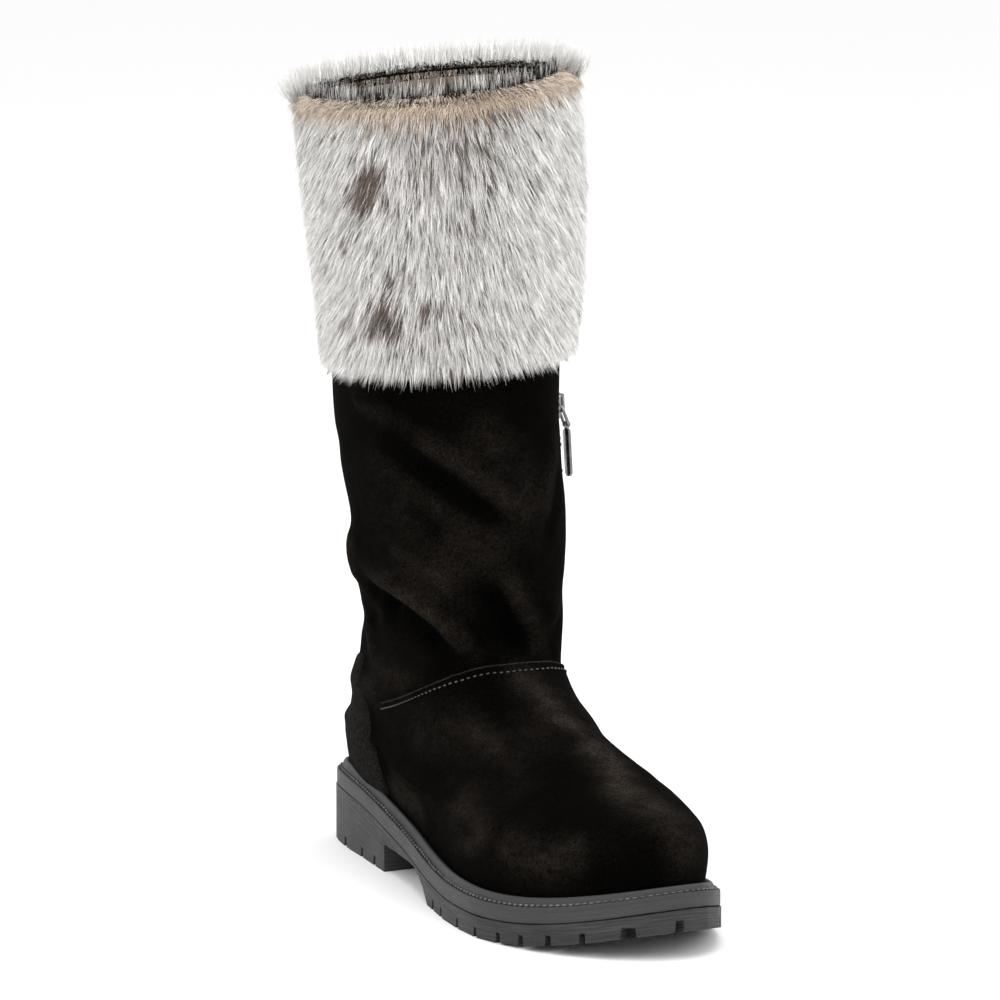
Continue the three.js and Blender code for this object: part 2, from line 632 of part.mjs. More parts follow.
// The fur cuff: a band turned out over the collar, its pile in locks that end unevenly at the hem.
// The pile stands longer towards the shin and the inner side.
const cuffColumns = columns.flatMap((_, k) => [k, k + 0.5]);
const pileAt = (point) => 1 + pileBias * (point.x - point.y + yAt(shaftMiddle)) / ballWidth;
function cuffRing(r, out, { lift = 0, tuft = 0, lock = 0 } = {}) {
  return cuffColumns.map((k, i) => {
    const proud = i % 2 ? 1 : -1;
    const hang = proud > 0 ? lock * (lockEvenness + (1 - lockEvenness) * Math.sin(i * lockTurn) ** 2) : 0;
    const pile = out > cuffSeat ? out * pileAt(onSkin(r, k, 0)) : out;
    return onSkin(r, k, pile + proud * tuft, lift - hang);
  });
}
function furCuff() {
  const top = skin.length - 1;
  const hem = hemRow + hemLift;
  const inside = -wall - cuffSeat;
  const lipRow = top - cuffLip / (rings[top].zFront - rings[top - 1].zFront);
  return solid([
    cuffRing(hem, cuffSeat),
    cuffRing(hemRow + 1, cuffSeat),
    cuffRing(top - 1, cuffSeat),
    cuffRing(top, cuffSeat, { lift: gap }),
    cuffRing(top, inside, { lift: gap }),
    cuffRing(lipRow, inside),
    cuffRing(lipRow, inside - lipPile, { tuft: tuftDepth }),
    cuffRing(top, -wall / 2, { lift: ridgeRise, tuft: tuftDepth }),
    cuffRing(top, cuffPile * pileShare.ridge, { lift: ridgeRise * ridgeFall, tuft: tuftDepth }),
    cuffRing(top - 1, cuffPile, { tuft: tuftDepth }),
    cuffRing(hemRow + 1, cuffPile * pileShare.above, { tuft: tuftDepth }),
    cuffRing(hem, cuffPile * pileShare.hem, { lift: lockRoot, tuft: tuftDepth }),
    cuffRing(hem, cuffPile * pileShare.tips, { lift: -gap, tuft: tuftDepth, lock: hemLock }),
  ], { looped: true });
}

// The slider stands on the chain just below the cuff. Its own frame: X along the boot, Y out of
// the shaft, Z up the zip, with the origin on the skin.
const sliderRow = hemRow - 1.4;
const zipAt = (r, out) => onSkin(r, zipMiddle, out);
function sliderFrame() {
  const up = zipAt(sliderRow + 0.5, 0).sub(zipAt(sliderRow - 0.5, 0)).normalize();
  const out = new THREE.Vector3(1, 0, 0).addScaledVector(up, -up.x).normalize();
  const across = out.clone().cross(up);
  return new THREE.Matrix4().makeBasis(across, out, up).setPosition(zipAt(sliderRow, 0));
}
const chainTop = chainLow + chainThickness;
const sliderFace = chainTop + gap + sliderThickness;
const barOut = sliderFace + bridgeWindow;
const windowFoot = -0.35 * (sliderLength / 2);
const pivot = { out: sliderFace + bridgeWindow / 2, up: windowFoot + wire / 2 + gap };
// An outline across and up the slider, as a plate that reaches inwards from its outer face
function facePlate(shape, outerFace, thickness, round = 0) {
  const geometry = new THREE.ExtrudeGeometry(shape, {
    depth: thickness - 2 * round, bevelEnabled: round > 0, bevelThickness: round, bevelSize: round,
    bevelOffset: -round, bevelSegments: 1, curveSegments: 4,
  });
  const basis = new THREE.Matrix4().makeBasis(X, Z, Y.clone().negate());
  return geometry.translate(0, 0, round).applyMatrix4(basis.setPosition(0, outerFace, 0));
}
// An outline out from and up the slider, as a plate about its middle
function sidePlate(shape, width) {
  const options = { depth: width, bevelEnabled: false, curveSegments: 5 };
  const geometry = new THREE.ExtrudeGeometry(shape, options).translate(0, 0, -width / 2);
  return geometry.applyMatrix4(new THREE.Matrix4().makeBasis(Y, Z, X));
}
const outlineOf = (pairs) => new THREE.Shape(pairs.map(([x, y]) => new THREE.Vector2(x, y)));

function zipSlider() {
  const [wide, long] = [sliderWidth / 2, sliderLength / 2];
  const face = new THREE.Shape();
  face.moveTo(-wide * 0.62, -long);
  face.lineTo(wide * 0.62, -long);
  face.quadraticCurveTo(wide * 0.8, 0, wide, long * 0.55);
  face.quadraticCurveTo(wide * 0.9, long, 0, long);
  face.quadraticCurveTo(-wide * 0.9, long, -wide, long * 0.55);
  face.quadraticCurveTo(-wide * 0.8, 0, -wide * 0.62, -long);
  const root = sliderFace - sliderThickness / 4;
  const crest = barOut + bridgeBar;
  const bridge = outlineOf([
    [root, -long * 0.8], [crest, -long * 0.5], [crest, long * 0.7], [root, long * 0.9],
    [root, long * 0.72], [sliderFace, long * 0.7], [barOut, long * 0.5],
    [barOut, windowFoot], [sliderFace, -long * 0.55], [root, -long * 0.57],
  ]);
  return join([facePlate(face, sliderFace, sliderThickness, 0.5), sidePlate(bridge, bridgeWidth)]);
}

// The link and the tab hang from their own pivots, at the origin
function roundedBox(wide, top, bottom, radius) {
  const corners = [
    [wide - radius, bottom + radius, -1], [wide - radius, top - radius, 0],
    [-wide + radius, top - radius, 1], [-wide + radius, bottom + radius, 2],
  ];
  return corners.flatMap(([x, y, quarter]) => [0, 1 / 3, 2 / 3, 1].map((t) => {
    const angle = ((quarter + t) * Math.PI) / 2;
    return new THREE.Vector2(x + radius * Math.cos(angle), y + radius * Math.sin(angle));
  }));
}
function zipLink() {
  const drop = linkLength - wire;
  const shape = new THREE.Shape(roundedBox(linkWidth / 2, wire / 2, -drop - wire / 2, wire * 1.5));
  shape.holes.push(new THREE.Path(
    roundedBox(linkWidth / 2 - wire, -wire / 2, -drop + wire / 2, wire * 0.5).reverse(),
  ));
  return facePlate(shape, wire / 2, wire);
}
function zipPull() {
  const [eye, bore] = [wire * 1.4, wire * 0.88];
  const knuckle = new THREE.Shape().absarc(0, 0, eye, 0, 2 * Math.PI);
  knuckle.holes.push(new THREE.Path().absarc(0, 0, bore, 0, 2 * Math.PI, true));
  const [wide, chamfer] = [tabWidth / 2, tabWidth * 0.28];
  const shoulder = -eye - 0.4;
  const tab = outlineOf([
    [-knuckleWidth / 2, -bore - 0.15], [-knuckleWidth / 2, shoulder], [-wide, shoulder - chamfer * 0.5],
    [-wide, -tabLength + chamfer], [-wide + chamfer, -tabLength], [wide - chamfer, -tabLength],
    [wide, -tabLength + chamfer], [wide, shoulder - chamfer * 0.5], [knuckleWidth / 2, shoulder],
    [knuckleWidth / 2, -bore - 0.15],
  ]);
  return join([sidePlate(knuckle, knuckleWidth), facePlate(tab, tabThickness / 2, tabThickness)]);
}

const material = (color, roughness, metalness) => (
  new THREE.MeshStandardMaterial({ color, roughness, metalness })
);
const suede = material('#1c1714', 0.95, 0);
const rubber = material('#4a4b4c', 0.7, 0);

const group = new THREE.Group();
function add(name, geometry, finish, parent = group) {
  const mesh = new THREE.Mesh(geometry, finish);
  mesh.name = name;
  parent.add(mesh);
  return mesh;
}
add('outsole', outsole(), rubber);
add('midsole', midsole(), rubber);
add('welt', welt(), rubber);
add('insole', insole(), suede);
add('upper', upper(), suede);
add('heel_counter', heelCounter(), suede);
add('zip_tape', zipTape(), suede);
add('zip_chain', zipChain(), rubber);
add('fur_cuff', furCuff(), material('#cfc8bf', 1, 0));

const steel = material('#55565a', 0.28, 1);
const zipHead = new THREE.Group();
zipHead.applyMatrix4(sliderFrame());
group.add(zipHead);
add('zip_slider', zipSlider(), steel, zipHead);
const lean = THREE.MathUtils.degToRad(linkLean);
const link = add('zip_link', zipLink(), steel, zipHead);
link.position.set(0, pivot.out, pivot.up);
link.rotation.x = lean;
// The tab hangs straight down from the link
const down = Z.clone().negate().transformDirection(sliderFrame().invert());
const pull = add('zip_pull', zipPull(), steel, zipHead);
const drop = linkLength - wire;
pull.position.set(0, pivot.out + drop * Math.sin(lean), pivot.up - drop * Math.cos(lean));
pull.rotation.x = Math.atan2(down.y, -down.z);

export default group;
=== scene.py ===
# A right mukluk boot dressed round its CAD frame: suede upper, fur cuff, lugged sole, inner zip.
# Blender units are metres; the tables below are in the boot's own millimetres.
import math

import bmesh
import bpy
import numpy as np
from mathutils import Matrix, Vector, noise as fieldNoise
from mathutils.bvhtree import BVHTree
from mathutils.kdtree import KDTree


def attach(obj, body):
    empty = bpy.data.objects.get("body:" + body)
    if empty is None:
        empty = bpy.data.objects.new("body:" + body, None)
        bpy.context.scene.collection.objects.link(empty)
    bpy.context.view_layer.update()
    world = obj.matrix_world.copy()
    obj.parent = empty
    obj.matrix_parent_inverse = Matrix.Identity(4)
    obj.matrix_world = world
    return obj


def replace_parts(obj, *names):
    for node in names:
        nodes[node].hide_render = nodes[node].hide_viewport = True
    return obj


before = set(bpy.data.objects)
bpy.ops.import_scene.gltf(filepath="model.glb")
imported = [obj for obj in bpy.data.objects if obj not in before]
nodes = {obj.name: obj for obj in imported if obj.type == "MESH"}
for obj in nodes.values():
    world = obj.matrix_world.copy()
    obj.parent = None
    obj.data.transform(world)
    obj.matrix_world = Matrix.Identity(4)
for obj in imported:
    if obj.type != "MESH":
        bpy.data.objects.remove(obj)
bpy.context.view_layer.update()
scene = bpy.context.scene
rng = np.random.default_rng(41)
mm = 0.001

# Camera, floor and light

cameraSet = {"turn": -27.87, "rise": 9.233, "distance": 3.0, "aimed": (-0.004, -0.107, 0.2),
             "middle": (-0.0095, -0.1078, 0.172), "lens": 252}


def backward(turn, rise):
    a, e = math.radians(turn), math.radians(rise)
    return Vector((math.sin(a) * math.cos(e), -math.cos(a) * math.cos(e), math.sin(e)))


def addCamera():
    camera = bpy.data.objects.new("camera", bpy.data.cameras.new("camera"))
    scene.collection.objects.link(camera)
    camera.data.sensor_width = 36
    camera.data.lens = cameraSet["lens"]
    camera.data.clip_end = 200
    away = backward(cameraSet["turn"], cameraSet["rise"]) * cameraSet["distance"]
    camera.location = Vector(cameraSet["aimed"]) + away
    camera.rotation_mode = "QUATERNION"
    look = Vector(cameraSet["middle"]) - camera.location
    camera.rotation_quaternion = look.to_track_quat("-Z", "Y")
    scene.camera = camera


lightSet = [
    {"name": "overhead", "turn": -10, "rise": 78, "far": 1.7, "size": 1.7, "power": 17},
    {"name": "frontLeft", "turn": -75, "rise": 32, "far": 2.0, "size": 1.2, "power": 9.5},
    {"name": "frontRight", "turn": 40, "rise": 30, "far": 2.2, "size": 1.2, "power": 12},
    {"name": "behind", "turn": 170, "rise": 40, "far": 2.0, "size": 1.4, "power": 4},
]


def addLights():
    middle = Vector(cameraSet["middle"])
    for row in lightSet:
        lamp = bpy.data.lights.new(row["name"], "AREA")
        lamp.shape = "DISK"
        lamp.size = row["size"]
        lamp.energy = row["power"]
        light = bpy.data.objects.new(row["name"], lamp)
        scene.collection.objects.link(light)
        light.location = middle + backward(row["turn"], row["rise"]) * row["far"]
        light.rotation_mode = "QUATERNION"
        light.rotation_quaternion = (middle - light.location).to_track_quat("-Z", "Y")
    world = bpy.data.worlds.new("studio")
    world.use_nodes = True
    world.node_tree.nodes["Background"].inputs["Color"].default_value = (1, 1, 1, 1)
    world.node_tree.nodes["Background"].inputs["Strength"].default_value = 1.0
    scene.world = world
    scene.view_settings.view_transform = "Standard"


# Materials

def newMaterial(name, **constants):
    material = bpy.data.materials.new(name)
    material.use_nodes = True
    tree = material.node_tree
    shader = tree.nodes["Principled BSDF"]
    for socket, value in constants.items():
        shader.inputs[socket.replace("_", " ")].default_value = value
    return material, tree, shader


def addNode(tree, kind, values=None, **settings):
    node = tree.nodes.new(kind)
    for key, value in settings.items():
        setattr(node, key, value)
    for key, value in (values or {}).items():
        node.inputs[key].default_value = value
    return node


def link(tree, source, target):
    tree.links.new(source, target)


def ramp(tree, source, stops):
    node = tree.nodes.new("ShaderNodeValToRGB")
    while len(node.color_ramp.elements) < len(stops):
        node.color_ramp.elements.new(0.5)
    for element, (place, colour) in zip(node.color_ramp.elements, stops):
        element.position = place
        element.color = (*colour, 1)
    link(tree, source, node.inputs["Fac"])
    return node.outputs["Color"]


def noise(tree, vector, scale, detail=4, roughness=0.6, distortion=0):
    values = {"Scale": scale, "Detail": detail, "Roughness": roughness, "Distortion": distortion}
    node = addNode(tree, "ShaderNodeTexNoise", values)
    link(tree, vector, node.inputs["Vector"])
    return node.outputs["Fac"]


def stretched(tree, vector, scale):
    node = addNode(tree, "ShaderNodeMapping", {"Scale": scale})
    link(tree, vector, node.inputs["Vector"])
    return node.outputs["Vector"]


def remap(tree, source, low, high, toLow=0, toHigh=1):
    node = addNode(tree, "ShaderNodeMapRange")
    for place, value in zip(range(1, 5), (low, high, toLow, toHigh)):
        node.inputs[place].default_value = value
    link(tree, source, node.inputs[0])
    return node.outputs[0]


def maths(tree, operation, *sources):
    node = addNode(tree, "ShaderNodeMath", operation=operation)
    for place, source in enumerate(sources):
        if isinstance(source, (int, float)):
            node.inputs[place].default_value = source
        else:
            link(tree, source, node.inputs[place])
    return node.outputs[0]


def blendColour(tree, factor, first, second, kind="MIX"):
    node = addNode(tree, "ShaderNodeMix", data_type="RGBA", blend_type=kind)
    for place, source in ((0, factor), (6, first), (7, second)):
        if isinstance(source, (int, float)):
            node.inputs[place].default_value = source
        elif isinstance(source, tuple):
            node.inputs[place].default_value = (*source, 1)
        else:
            link(tree, source, node.inputs[place])
    return node.outputs[2]


def bump(tree, height, distance, strength=1.0):
    node = addNode(tree, "ShaderNodeBump", {"Distance": distance, "Strength": strength})
    link(tree, height, node.inputs["Height"])
    return node.outputs["Normal"]


def objectPlace(tree):
    return tree.nodes.new("ShaderNodeTexCoord").outputs["Object"]


def attribute(tree, name, output="Fac"):
    return addNode(tree, "ShaderNodeAttribute", attribute_name=name).outputs[output]


def newGroup(name, inputs, outputs):
    tree = bpy.data.node_groups.new(name, "ShaderNodeTree")
    for kind, sockets in (("INPUT", inputs), ("OUTPUT", outputs)):
        for socket, (socketType, value) in sockets.items():
            made = tree.interface.new_socket(socket, in_out=kind, socket_type=socketType)
            if value is not None:
                made.default_value = value
    return tree, tree.nodes.new("NodeGroupInput"), tree.nodes.new("NodeGroupOutput")


def placeGroup(tree, group, values=None, **links):
    node = tree.nodes.new("ShaderNodeGroup")
    node.node_tree = group
    for key, value in (values or {}).items():
        node.inputs[key].default_value = value
    for key, source in links.items():
        link(tree, source, node.inputs[key])
    return node


def napAndPaintedLightGroup():
    # Suede colour: cloudy light and dark tone, a fine grain and a soft height. Its nap input mixes toward the lit
    # colour for lighter patches and for painted highlight on crease ridges; below zero it darkens the colour as
    # painted shade in crease troughs
    tree, inlet, outlet = newGroup(
        "brushedNap",
        {"Deep": ("NodeSocketColor", (0.005, 0.0045, 0.0036, 1)),
         "Lit": ("NodeSocketColor", (0.034, 0.028, 0.022, 1)),
         "Nap": ("NodeSocketFloat", 0), "Grain": ("NodeSocketFloat", 0.55)},
        {"Colour": ("NodeSocketColor", None), "Height": ("NodeSocketFloat", None)})
    place = objectPlace(tree)
    clouds = noise(tree, place, 26, 3, 0.55, 0.4)
    strokes = noise(tree, stretched(tree, place, (90, 90, 170)), 1, 3, 0.6, 0.6)
    grain = noise(tree, place, 1700, 2, 0.75)
    fibre = noise(tree, place, 700, 3, 0.7, 0.8)
    broken = maths(tree, "MULTIPLY", inlet.outputs["Nap"], remap(tree, strokes, 0.3, 0.7, 0.35, 1.25))
    cloudy = remap(tree, clouds, 0.48, 0.75, 0, 0.10)
    amount = maths(tree, "ADD", broken, cloudy)
    speckle = maths(tree, "ADD", maths(tree, "MULTIPLY", grain, 0.6), maths(tree, "MULTIPLY", fibre, 0.4))
    speckle = remap(tree, speckle, 0.38, 0.64, -1, 1)
    spread = maths(tree, "MULTIPLY", speckle, inlet.outputs["Grain"])
    node = addNode(tree, "ShaderNodeMix", data_type="RGBA", clamp_factor=True)
    link(tree, amount, node.inputs[0])
    link(tree, inlet.outputs["Deep"], node.inputs[6])
    link(tree, inlet.outputs["Lit"], node.inputs[7])
    # Painted shade: a nap value below zero, set in crease troughs, darkens the colour
    paintedTroughShade = maths(tree, "MULTIPLY", maths(tree, "MINIMUM", inlet.outputs["Nap"], 0.0), 0.8)
    lightness = maths(tree, "MAXIMUM", maths(tree, "ADD", maths(tree, "ADD", spread, paintedTroughShade), 1.0), 0.08)
    grey = addNode(tree, "ShaderNodeCombineColor")
    for channel in ("Red", "Green", "Blue"):
        link(tree, lightness, grey.inputs[channel])
    link(tree, blendColour(tree, 1.0, node.outputs[2], grey.outputs[0], "MULTIPLY"), outlet.inputs["Colour"])
    height = maths(tree, "ADD", maths(tree, "MULTIPLY", strokes, 0.6), maths(tree, "MULTIPLY", speckle, 0.25))
    link(tree, height, outlet.inputs["Height"])
    return tree


def rubberGroup():
    # Moulded rubber: fine horizontal scoring below the top, faint dust and a matt grain
    tree, inlet, outlet = newGroup(
        "mouldedRubber",
        {"Tone": ("NodeSocketColor", (0.07, 0.07, 0.07, 1)), "Below": ("NodeSocketFloat", 0),
         "Scoring": ("NodeSocketFloat", 1)},
        {"Colour": ("NodeSocketColor", None), "Roughness": ("NodeSocketFloat", None),
         "Height": ("NodeSocketFloat", None)})
    place = objectPlace(tree)
    split = addNode(tree, "ShaderNodeSeparateXYZ")
    link(tree, place, split.inputs[0])
    layered = addNode(tree, "ShaderNodeCombineXYZ")
    for axis, scale in (("X", 22), ("Y", 22)):
        link(tree, maths(tree, "MULTIPLY", split.outputs[axis], scale), layered.inputs[axis])
    link(tree, maths(tree, "MULTIPLY", inlet.outputs["Below"], 0.8), layered.inputs["Z"])
    score = noise(tree, layered.outputs[0], 1.6, 3, 0.6, 0.15)
    fine = noise(tree, place, 1500, 2, 0.6)
    dust = noise(tree, place, 60, 4, 0.65, 0.3)
    lines = maths(tree, "MULTIPLY", remap(tree, score, 0.36, 0.64, -1, 1), inlet.outputs["Scoring"])
    shade = maths(tree, "ADD", maths(tree, "MULTIPLY", lines, 0.42), remap(tree, dust, 0.35, 0.7, 0.88, 1.18))
    shade = maths(tree, "ADD", shade, remap(tree, fine, 0.3, 0.7, -0.07, 0.07))
    grey = addNode(tree, "ShaderNodeCombineColor")
    for channel in ("Red", "Green", "Blue"):
        link(tree, shade, grey.inputs[channel])
    link(tree, blendColour(tree, 1.0, inlet.outputs["Tone"], grey.outputs[0], "MULTIPLY"),
         outlet.inputs["Colour"])
    link(tree, remap(tree, dust, 0.3, 0.7, 0.5, 0.66), outlet.inputs["Roughness"])
    link(tree, maths(tree, "ADD", lines, maths(tree, "MULTIPLY", fine, 0.3)), outlet.inputs["Height"])
    return tree


def suedeMaterial(name, group, deep, lit, napAndPaintedLight, grain=0.85, bumpDepth=0.0005):
    material, tree, shader = newMaterial(
        name, Roughness=0.95, Sheen_Weight=0.004, Sheen_Roughness=0.45, Specular_IOR_Level=0.01)
    shader.inputs["Sheen Tint"].default_value = (0.8, 0.72, 0.62, 1)
    values = {"Deep": (*deep, 1), "Lit": (*lit, 1), "Grain": grain}
    if isinstance(napAndPaintedLight, str):
        node = placeGroup(tree, group, values, Nap=attribute(tree, napAndPaintedLight))
    else:
        node = placeGroup(tree, group, {**values, "Nap": napAndPaintedLight})
    link(tree, node.outputs["Colour"], shader.inputs["Base Color"])
    link(tree, bump(tree, node.outputs["Height"], bumpDepth), shader.inputs["Normal"])
    return material


def rubberMaterial(name, group, tone, scoring, bumpDepth=0.0004):
    material, tree, shader = newMaterial(name, Specular_IOR_Level=0.42)
    node = placeGroup(tree, group, {"Tone": (*tone, 1), "Scoring": scoring}, Below=attribute(tree, "below"))
    link(tree, node.outputs["Colour"], shader.inputs["Base Color"])
    link(tree, node.outputs["Roughness"], shader.inputs["Roughness"])
    link(tree, bump(tree, node.outputs["Height"], bumpDepth), shader.inputs["Normal"])
    return material


def furMaterial(name, stops, paintedRootShade, specular=0.3, sheen=0.1):
    # tint picks the coat's colour, along runs from root to tip, shade is each hair's own lightness; along blends each
    # hair from a dark root colour, painted shade deep in the coat, to the coat's colour
    material, tree, shader = newMaterial(
        name, Roughness=0.62, Specular_IOR_Level=specular, Sheen_Weight=sheen, Sheen_Roughness=0.5)
    coat = ramp(tree, attribute(tree, "tint"), stops)
    coat = blendColour(tree, remap(tree, attribute(tree, "along"), 0.08, 0.8), paintedRootShade, coat)
    light = attribute(tree, "shade")
    mottle = remap(tree, noise(tree, objectPlace(tree), 160, 3), 0.3, 0.7, 0.88, 1.1)
    light = maths(tree, "MULTIPLY", light, mottle)
    grey = addNode(tree, "ShaderNodeCombineColor")
    for channel in ("Red", "Green", "Blue"):
        link(tree, light, grey.inputs[channel])
    link(tree, blendColour(tree, 1.0, coat, grey.outputs[0], "MULTIPLY"), shader.inputs["Base Color"])
    return material


def steelMaterial():
    material, tree, shader = newMaterial("darkSteel", Metallic=1.0, Specular_IOR_Level=0.5)
    place = objectPlace(tree)
    smudge = noise(tree, place, 320, 3)
    brushed = noise(tree, stretched(tree, place, (900, 900, 90)), 1, 2)
    link(tree, blendColour(tree, smudge, (0.13, 0.13, 0.135), (0.27, 0.27, 0.275)), shader.inputs["Base Color"])
    link(tree, remap(tree, smudge, 0.3, 0.7, 0.16, 0.34), shader.inputs["Roughness"])
    link(tree, bump(tree, brushed, 0.00003), shader.inputs["Normal"])
    return material


def tapeMaterial():
    # Woven tape: ribs along and across the zip
    material, tree, shader = newMaterial("zipTapeWeave", Roughness=0.85, Specular_IOR_Level=0.2)
    place = objectPlace(tree)
    warp = addNode(tree, "ShaderNodeTexWave", {"Scale": 330, "Distortion": 0.6}, bands_direction="Y")
    weft = addNode(tree, "ShaderNodeTexWave", {"Scale": 260, "Distortion": 0.4}, bands_direction="Z")
    for wave in (warp, weft):
        link(tree, place, wave.inputs["Vector"])
    weave = maths(tree, "MULTIPLY", warp.outputs["Fac"], weft.outputs["Fac"])
    link(tree, blendColour(tree, weave, (0.004, 0.004, 0.004), (0.022, 0.021, 0.02)),
         shader.inputs["Base Color"])
    link(tree, bump(tree, weave, 0.0002), shader.inputs["Normal"])
    return material


def threadMaterial(name, dark, pale):
    material, tree, shader = newMaterial(name, Roughness=0.7, Specular_IOR_Level=0.3)
    place = objectPlace(tree)
    twist = noise(tree, place, 1600, 2, 0.6, 0.5)
    worn = noise(tree, place, 70, 3)
    colour = blendColour(tree, remap(tree, worn, 0.35, 0.65), dark, pale)
    link(tree, blendColour(tree, remap(tree, twist, 0.3, 0.7, 0, 0.45), colour, (0.01, 0.01, 0.01)),
         shader.inputs["Base Color"])
    link(tree, bump(tree, twist, 0.0001), shader.inputs["Normal"])
    return material


def floorMaterial():
    material, tree, shader = newMaterial("paleFloor", Roughness=0.8, Specular_IOR_Level=0.2)
    speck = noise(tree, objectPlace(tree), 3, 2)
    link(tree, blendColour(tree, speck, (0.93, 0.93, 0.93), (0.95, 0.95, 0.95)), shader.inputs["Base Color"])
    return material


# Mesh helpers

def newObject(name, mesh, material, body="boot"):
    obj = bpy.data.objects.new(name, mesh)
    scene.collection.objects.link(obj)
    mesh.materials.clear()
    mesh.materials.append(material)
    if body:
        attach(obj, body)
    return obj


def mergedCopy(node):
    bm = bmesh.new()
    bm.from_mesh(nodes[node].data)
    for layers in (bm.loops.layers.float_vector, bm.loops.layers.uv):
        for layer in list(layers.values()):
            layers.remove(layer)
    bmesh.ops.remove_doubles(bm, verts=bm.verts, dist=0.004 * mm)
    return bm


def toMesh(bm, name):
    mesh = bpy.data.meshes.new(name)
    bm.to_mesh(mesh)
    bm.free()
    for extra in ("custom_normal", "sharp_face"):
        if extra in mesh.attributes:
            mesh.attributes.remove(mesh.attributes[extra])
    return mesh


def creaseSharp(bm, angle, amount):
    layer = bm.edges.layers.float.get("crease_edge") or bm.edges.layers.float.new("crease_edge")
    for edge in bm.edges:
        if len(edge.link_faces) == 2 and edge.calc_face_angle(0) > angle:
            edge[layer] = amount(edge) if callable(amount) else amount


def subdivided(bm, name, levels, hold=0.72):
    # One smoothing pass, applied to the mesh
    bmesh.ops.join_triangles(bm, faces=bm.faces, angle_face_threshold=1.0, angle_shape_threshold=1.2)
    creaseSharp(bm, math.radians(38), hold)
    mesh = toMesh(bm, name)
    holder = bpy.data.objects.new(name, mesh)
    scene.collection.objects.link(holder)
    soften = holder.modifiers.new("soften", "SUBSURF")
    soften.levels = soften.render_levels = levels
    evaluated = holder.evaluated_get(bpy.context.evaluated_depsgraph_get())
    smooth = bpy.data.meshes.new_from_object(evaluated)
    bpy.data.objects.remove(holder)
    smooth.name = name
    return smooth


def positions(mesh):
    flat = np.empty(len(mesh.vertices) * 3)
    mesh.vertices.foreach_get("co", flat)
    return flat.reshape(-1, 3)


def vertexNormals(mesh):
    flat = np.empty(len(mesh.vertices) * 3, dtype=np.float32)
    mesh.vertex_normals.foreach_get("vector", flat)
    return flat.reshape(-1, 3).astype(float)


def setPositions(mesh, points):
    mesh.vertices.foreach_set("co", points.ravel())
    mesh.update()


def setValue(mesh, name, values):
    layer = mesh.attributes.new(name, "FLOAT", "POINT")
    layer.data.foreach_set("value", np.asarray(values, dtype=np.float32))


def shadeSmooth(mesh, angle=None):
    mesh.shade_smooth()
    if angle:
        mesh.set_sharp_from_angle(angle=angle)


def treeOf(mesh):
    points = [vertex.co.copy() for vertex in mesh.vertices]
    return BVHTree.FromPolygons(points, [tuple(face.vertices) for face in mesh.polygons])


def unit(vectors):
    return vectors / np.maximum(np.linalg.norm(vectors, axis=1, keepdims=True), 1e-12)


# Nearest distance from points to a line of points, and how far along the line that is
def lineDistance(points, line):
    best = np.full(len(points), np.inf)
    where = np.zeros(len(points))
    runs = len(line) - 1
    for i in range(runs):
        start, step = line[i], line[i + 1] - line[i]
        t = np.clip((points - start) @ step / (step @ step), 0, 1)
        away = np.linalg.norm(points - start - t[:, None] * step, axis=1)
        nearer = away < best
        best[nearer] = away[nearer]
        where[nearer] = (i + t[nearer]) / runs
    return best, where


def smoothLine(line, step, closed=False):
    # A rounded line through the points, at even steps
    line = np.asarray(line, dtype=float)
    count = len(line)
    spans = count if closed else count - 1
    fine = []
    for i in range(spans):
        picks = [(i + n) % count if closed else min(max(i + n, 0), count - 1) for n in (-1, 0, 1, 2)]
        a, b, c, d = line[picks]
        t = np.linspace(0, 1, 12, endpoint=False)[:, None]
        fine.append(0.5 * (2 * b + (c - a) * t + (2 * a - 5 * b + 4 * c - d) * t ** 2
                           + (3 * b - a - 3 * c + d) * t ** 3))
    fine.append(line[:1] if closed else line[-1:])
    fine = np.concatenate(fine)
    reach = np.concatenate([[0], np.cumsum(np.linalg.norm(np.diff(fine, axis=0), axis=1))])
    stops = np.arange(step / 2, reach[-1], step)
    return np.stack([np.interp(stops, reach, fine[:, axis]) for axis in range(3)], axis=1)


def joinedCopies(name, template, places, across, along, up, material, body="boot"):
    # One mesh of many copies of a small shape, each turned to its own axes
    shape = np.array([vertex.co for vertex in template.verts])
    faces = [[vertex.index for vertex in face.verts] for face in template.faces]
    spots = (places[:, None] + shape[None, :, :1] * across[:, None] + shape[None, :, 1:2] * along[:, None]
             + shape[None, :, 2:] * up[:, None])
    count = len(shape)
    allFaces = [[i + n * count for i in face] for n in range(len(places)) for face in faces]
    mesh = bpy.data.meshes.new(name)
    mesh.from_pydata(spots.reshape(-1, 3).tolist(), [], allFaces)
    mesh.shade_smooth()
    return newObject(name, mesh, material, body)


# The sole's own heights, to know how far below its top a point of it lies

soleSet = {"length": 290, "heelShare": 0.114, "heelSeat": 32.5, "forefoot": 16.6, "slopeStart": 0.06,
           "slopeEnd": 0.62, "springStart": 0.735, "toeSpring": 12.8, "layers": 7.6}


def seatHeight(y):
    share = soleSet["heelShare"] - y / soleSet["length"]
    t = np.clip((share - soleSet["slopeStart"]) / (soleSet["slopeEnd"] - soleSet["slopeStart"]), 0, 1)
    down = t * t * (3 - 2 * t)
    lift = np.maximum(0, (share - soleSet["springStart"]) / (1 - soleSet["springStart"])) ** 2
    return soleSet["heelSeat"] + (soleSet["forefoot"] - soleSet["heelSeat"]) * down + soleSet["toeSpring"] * lift
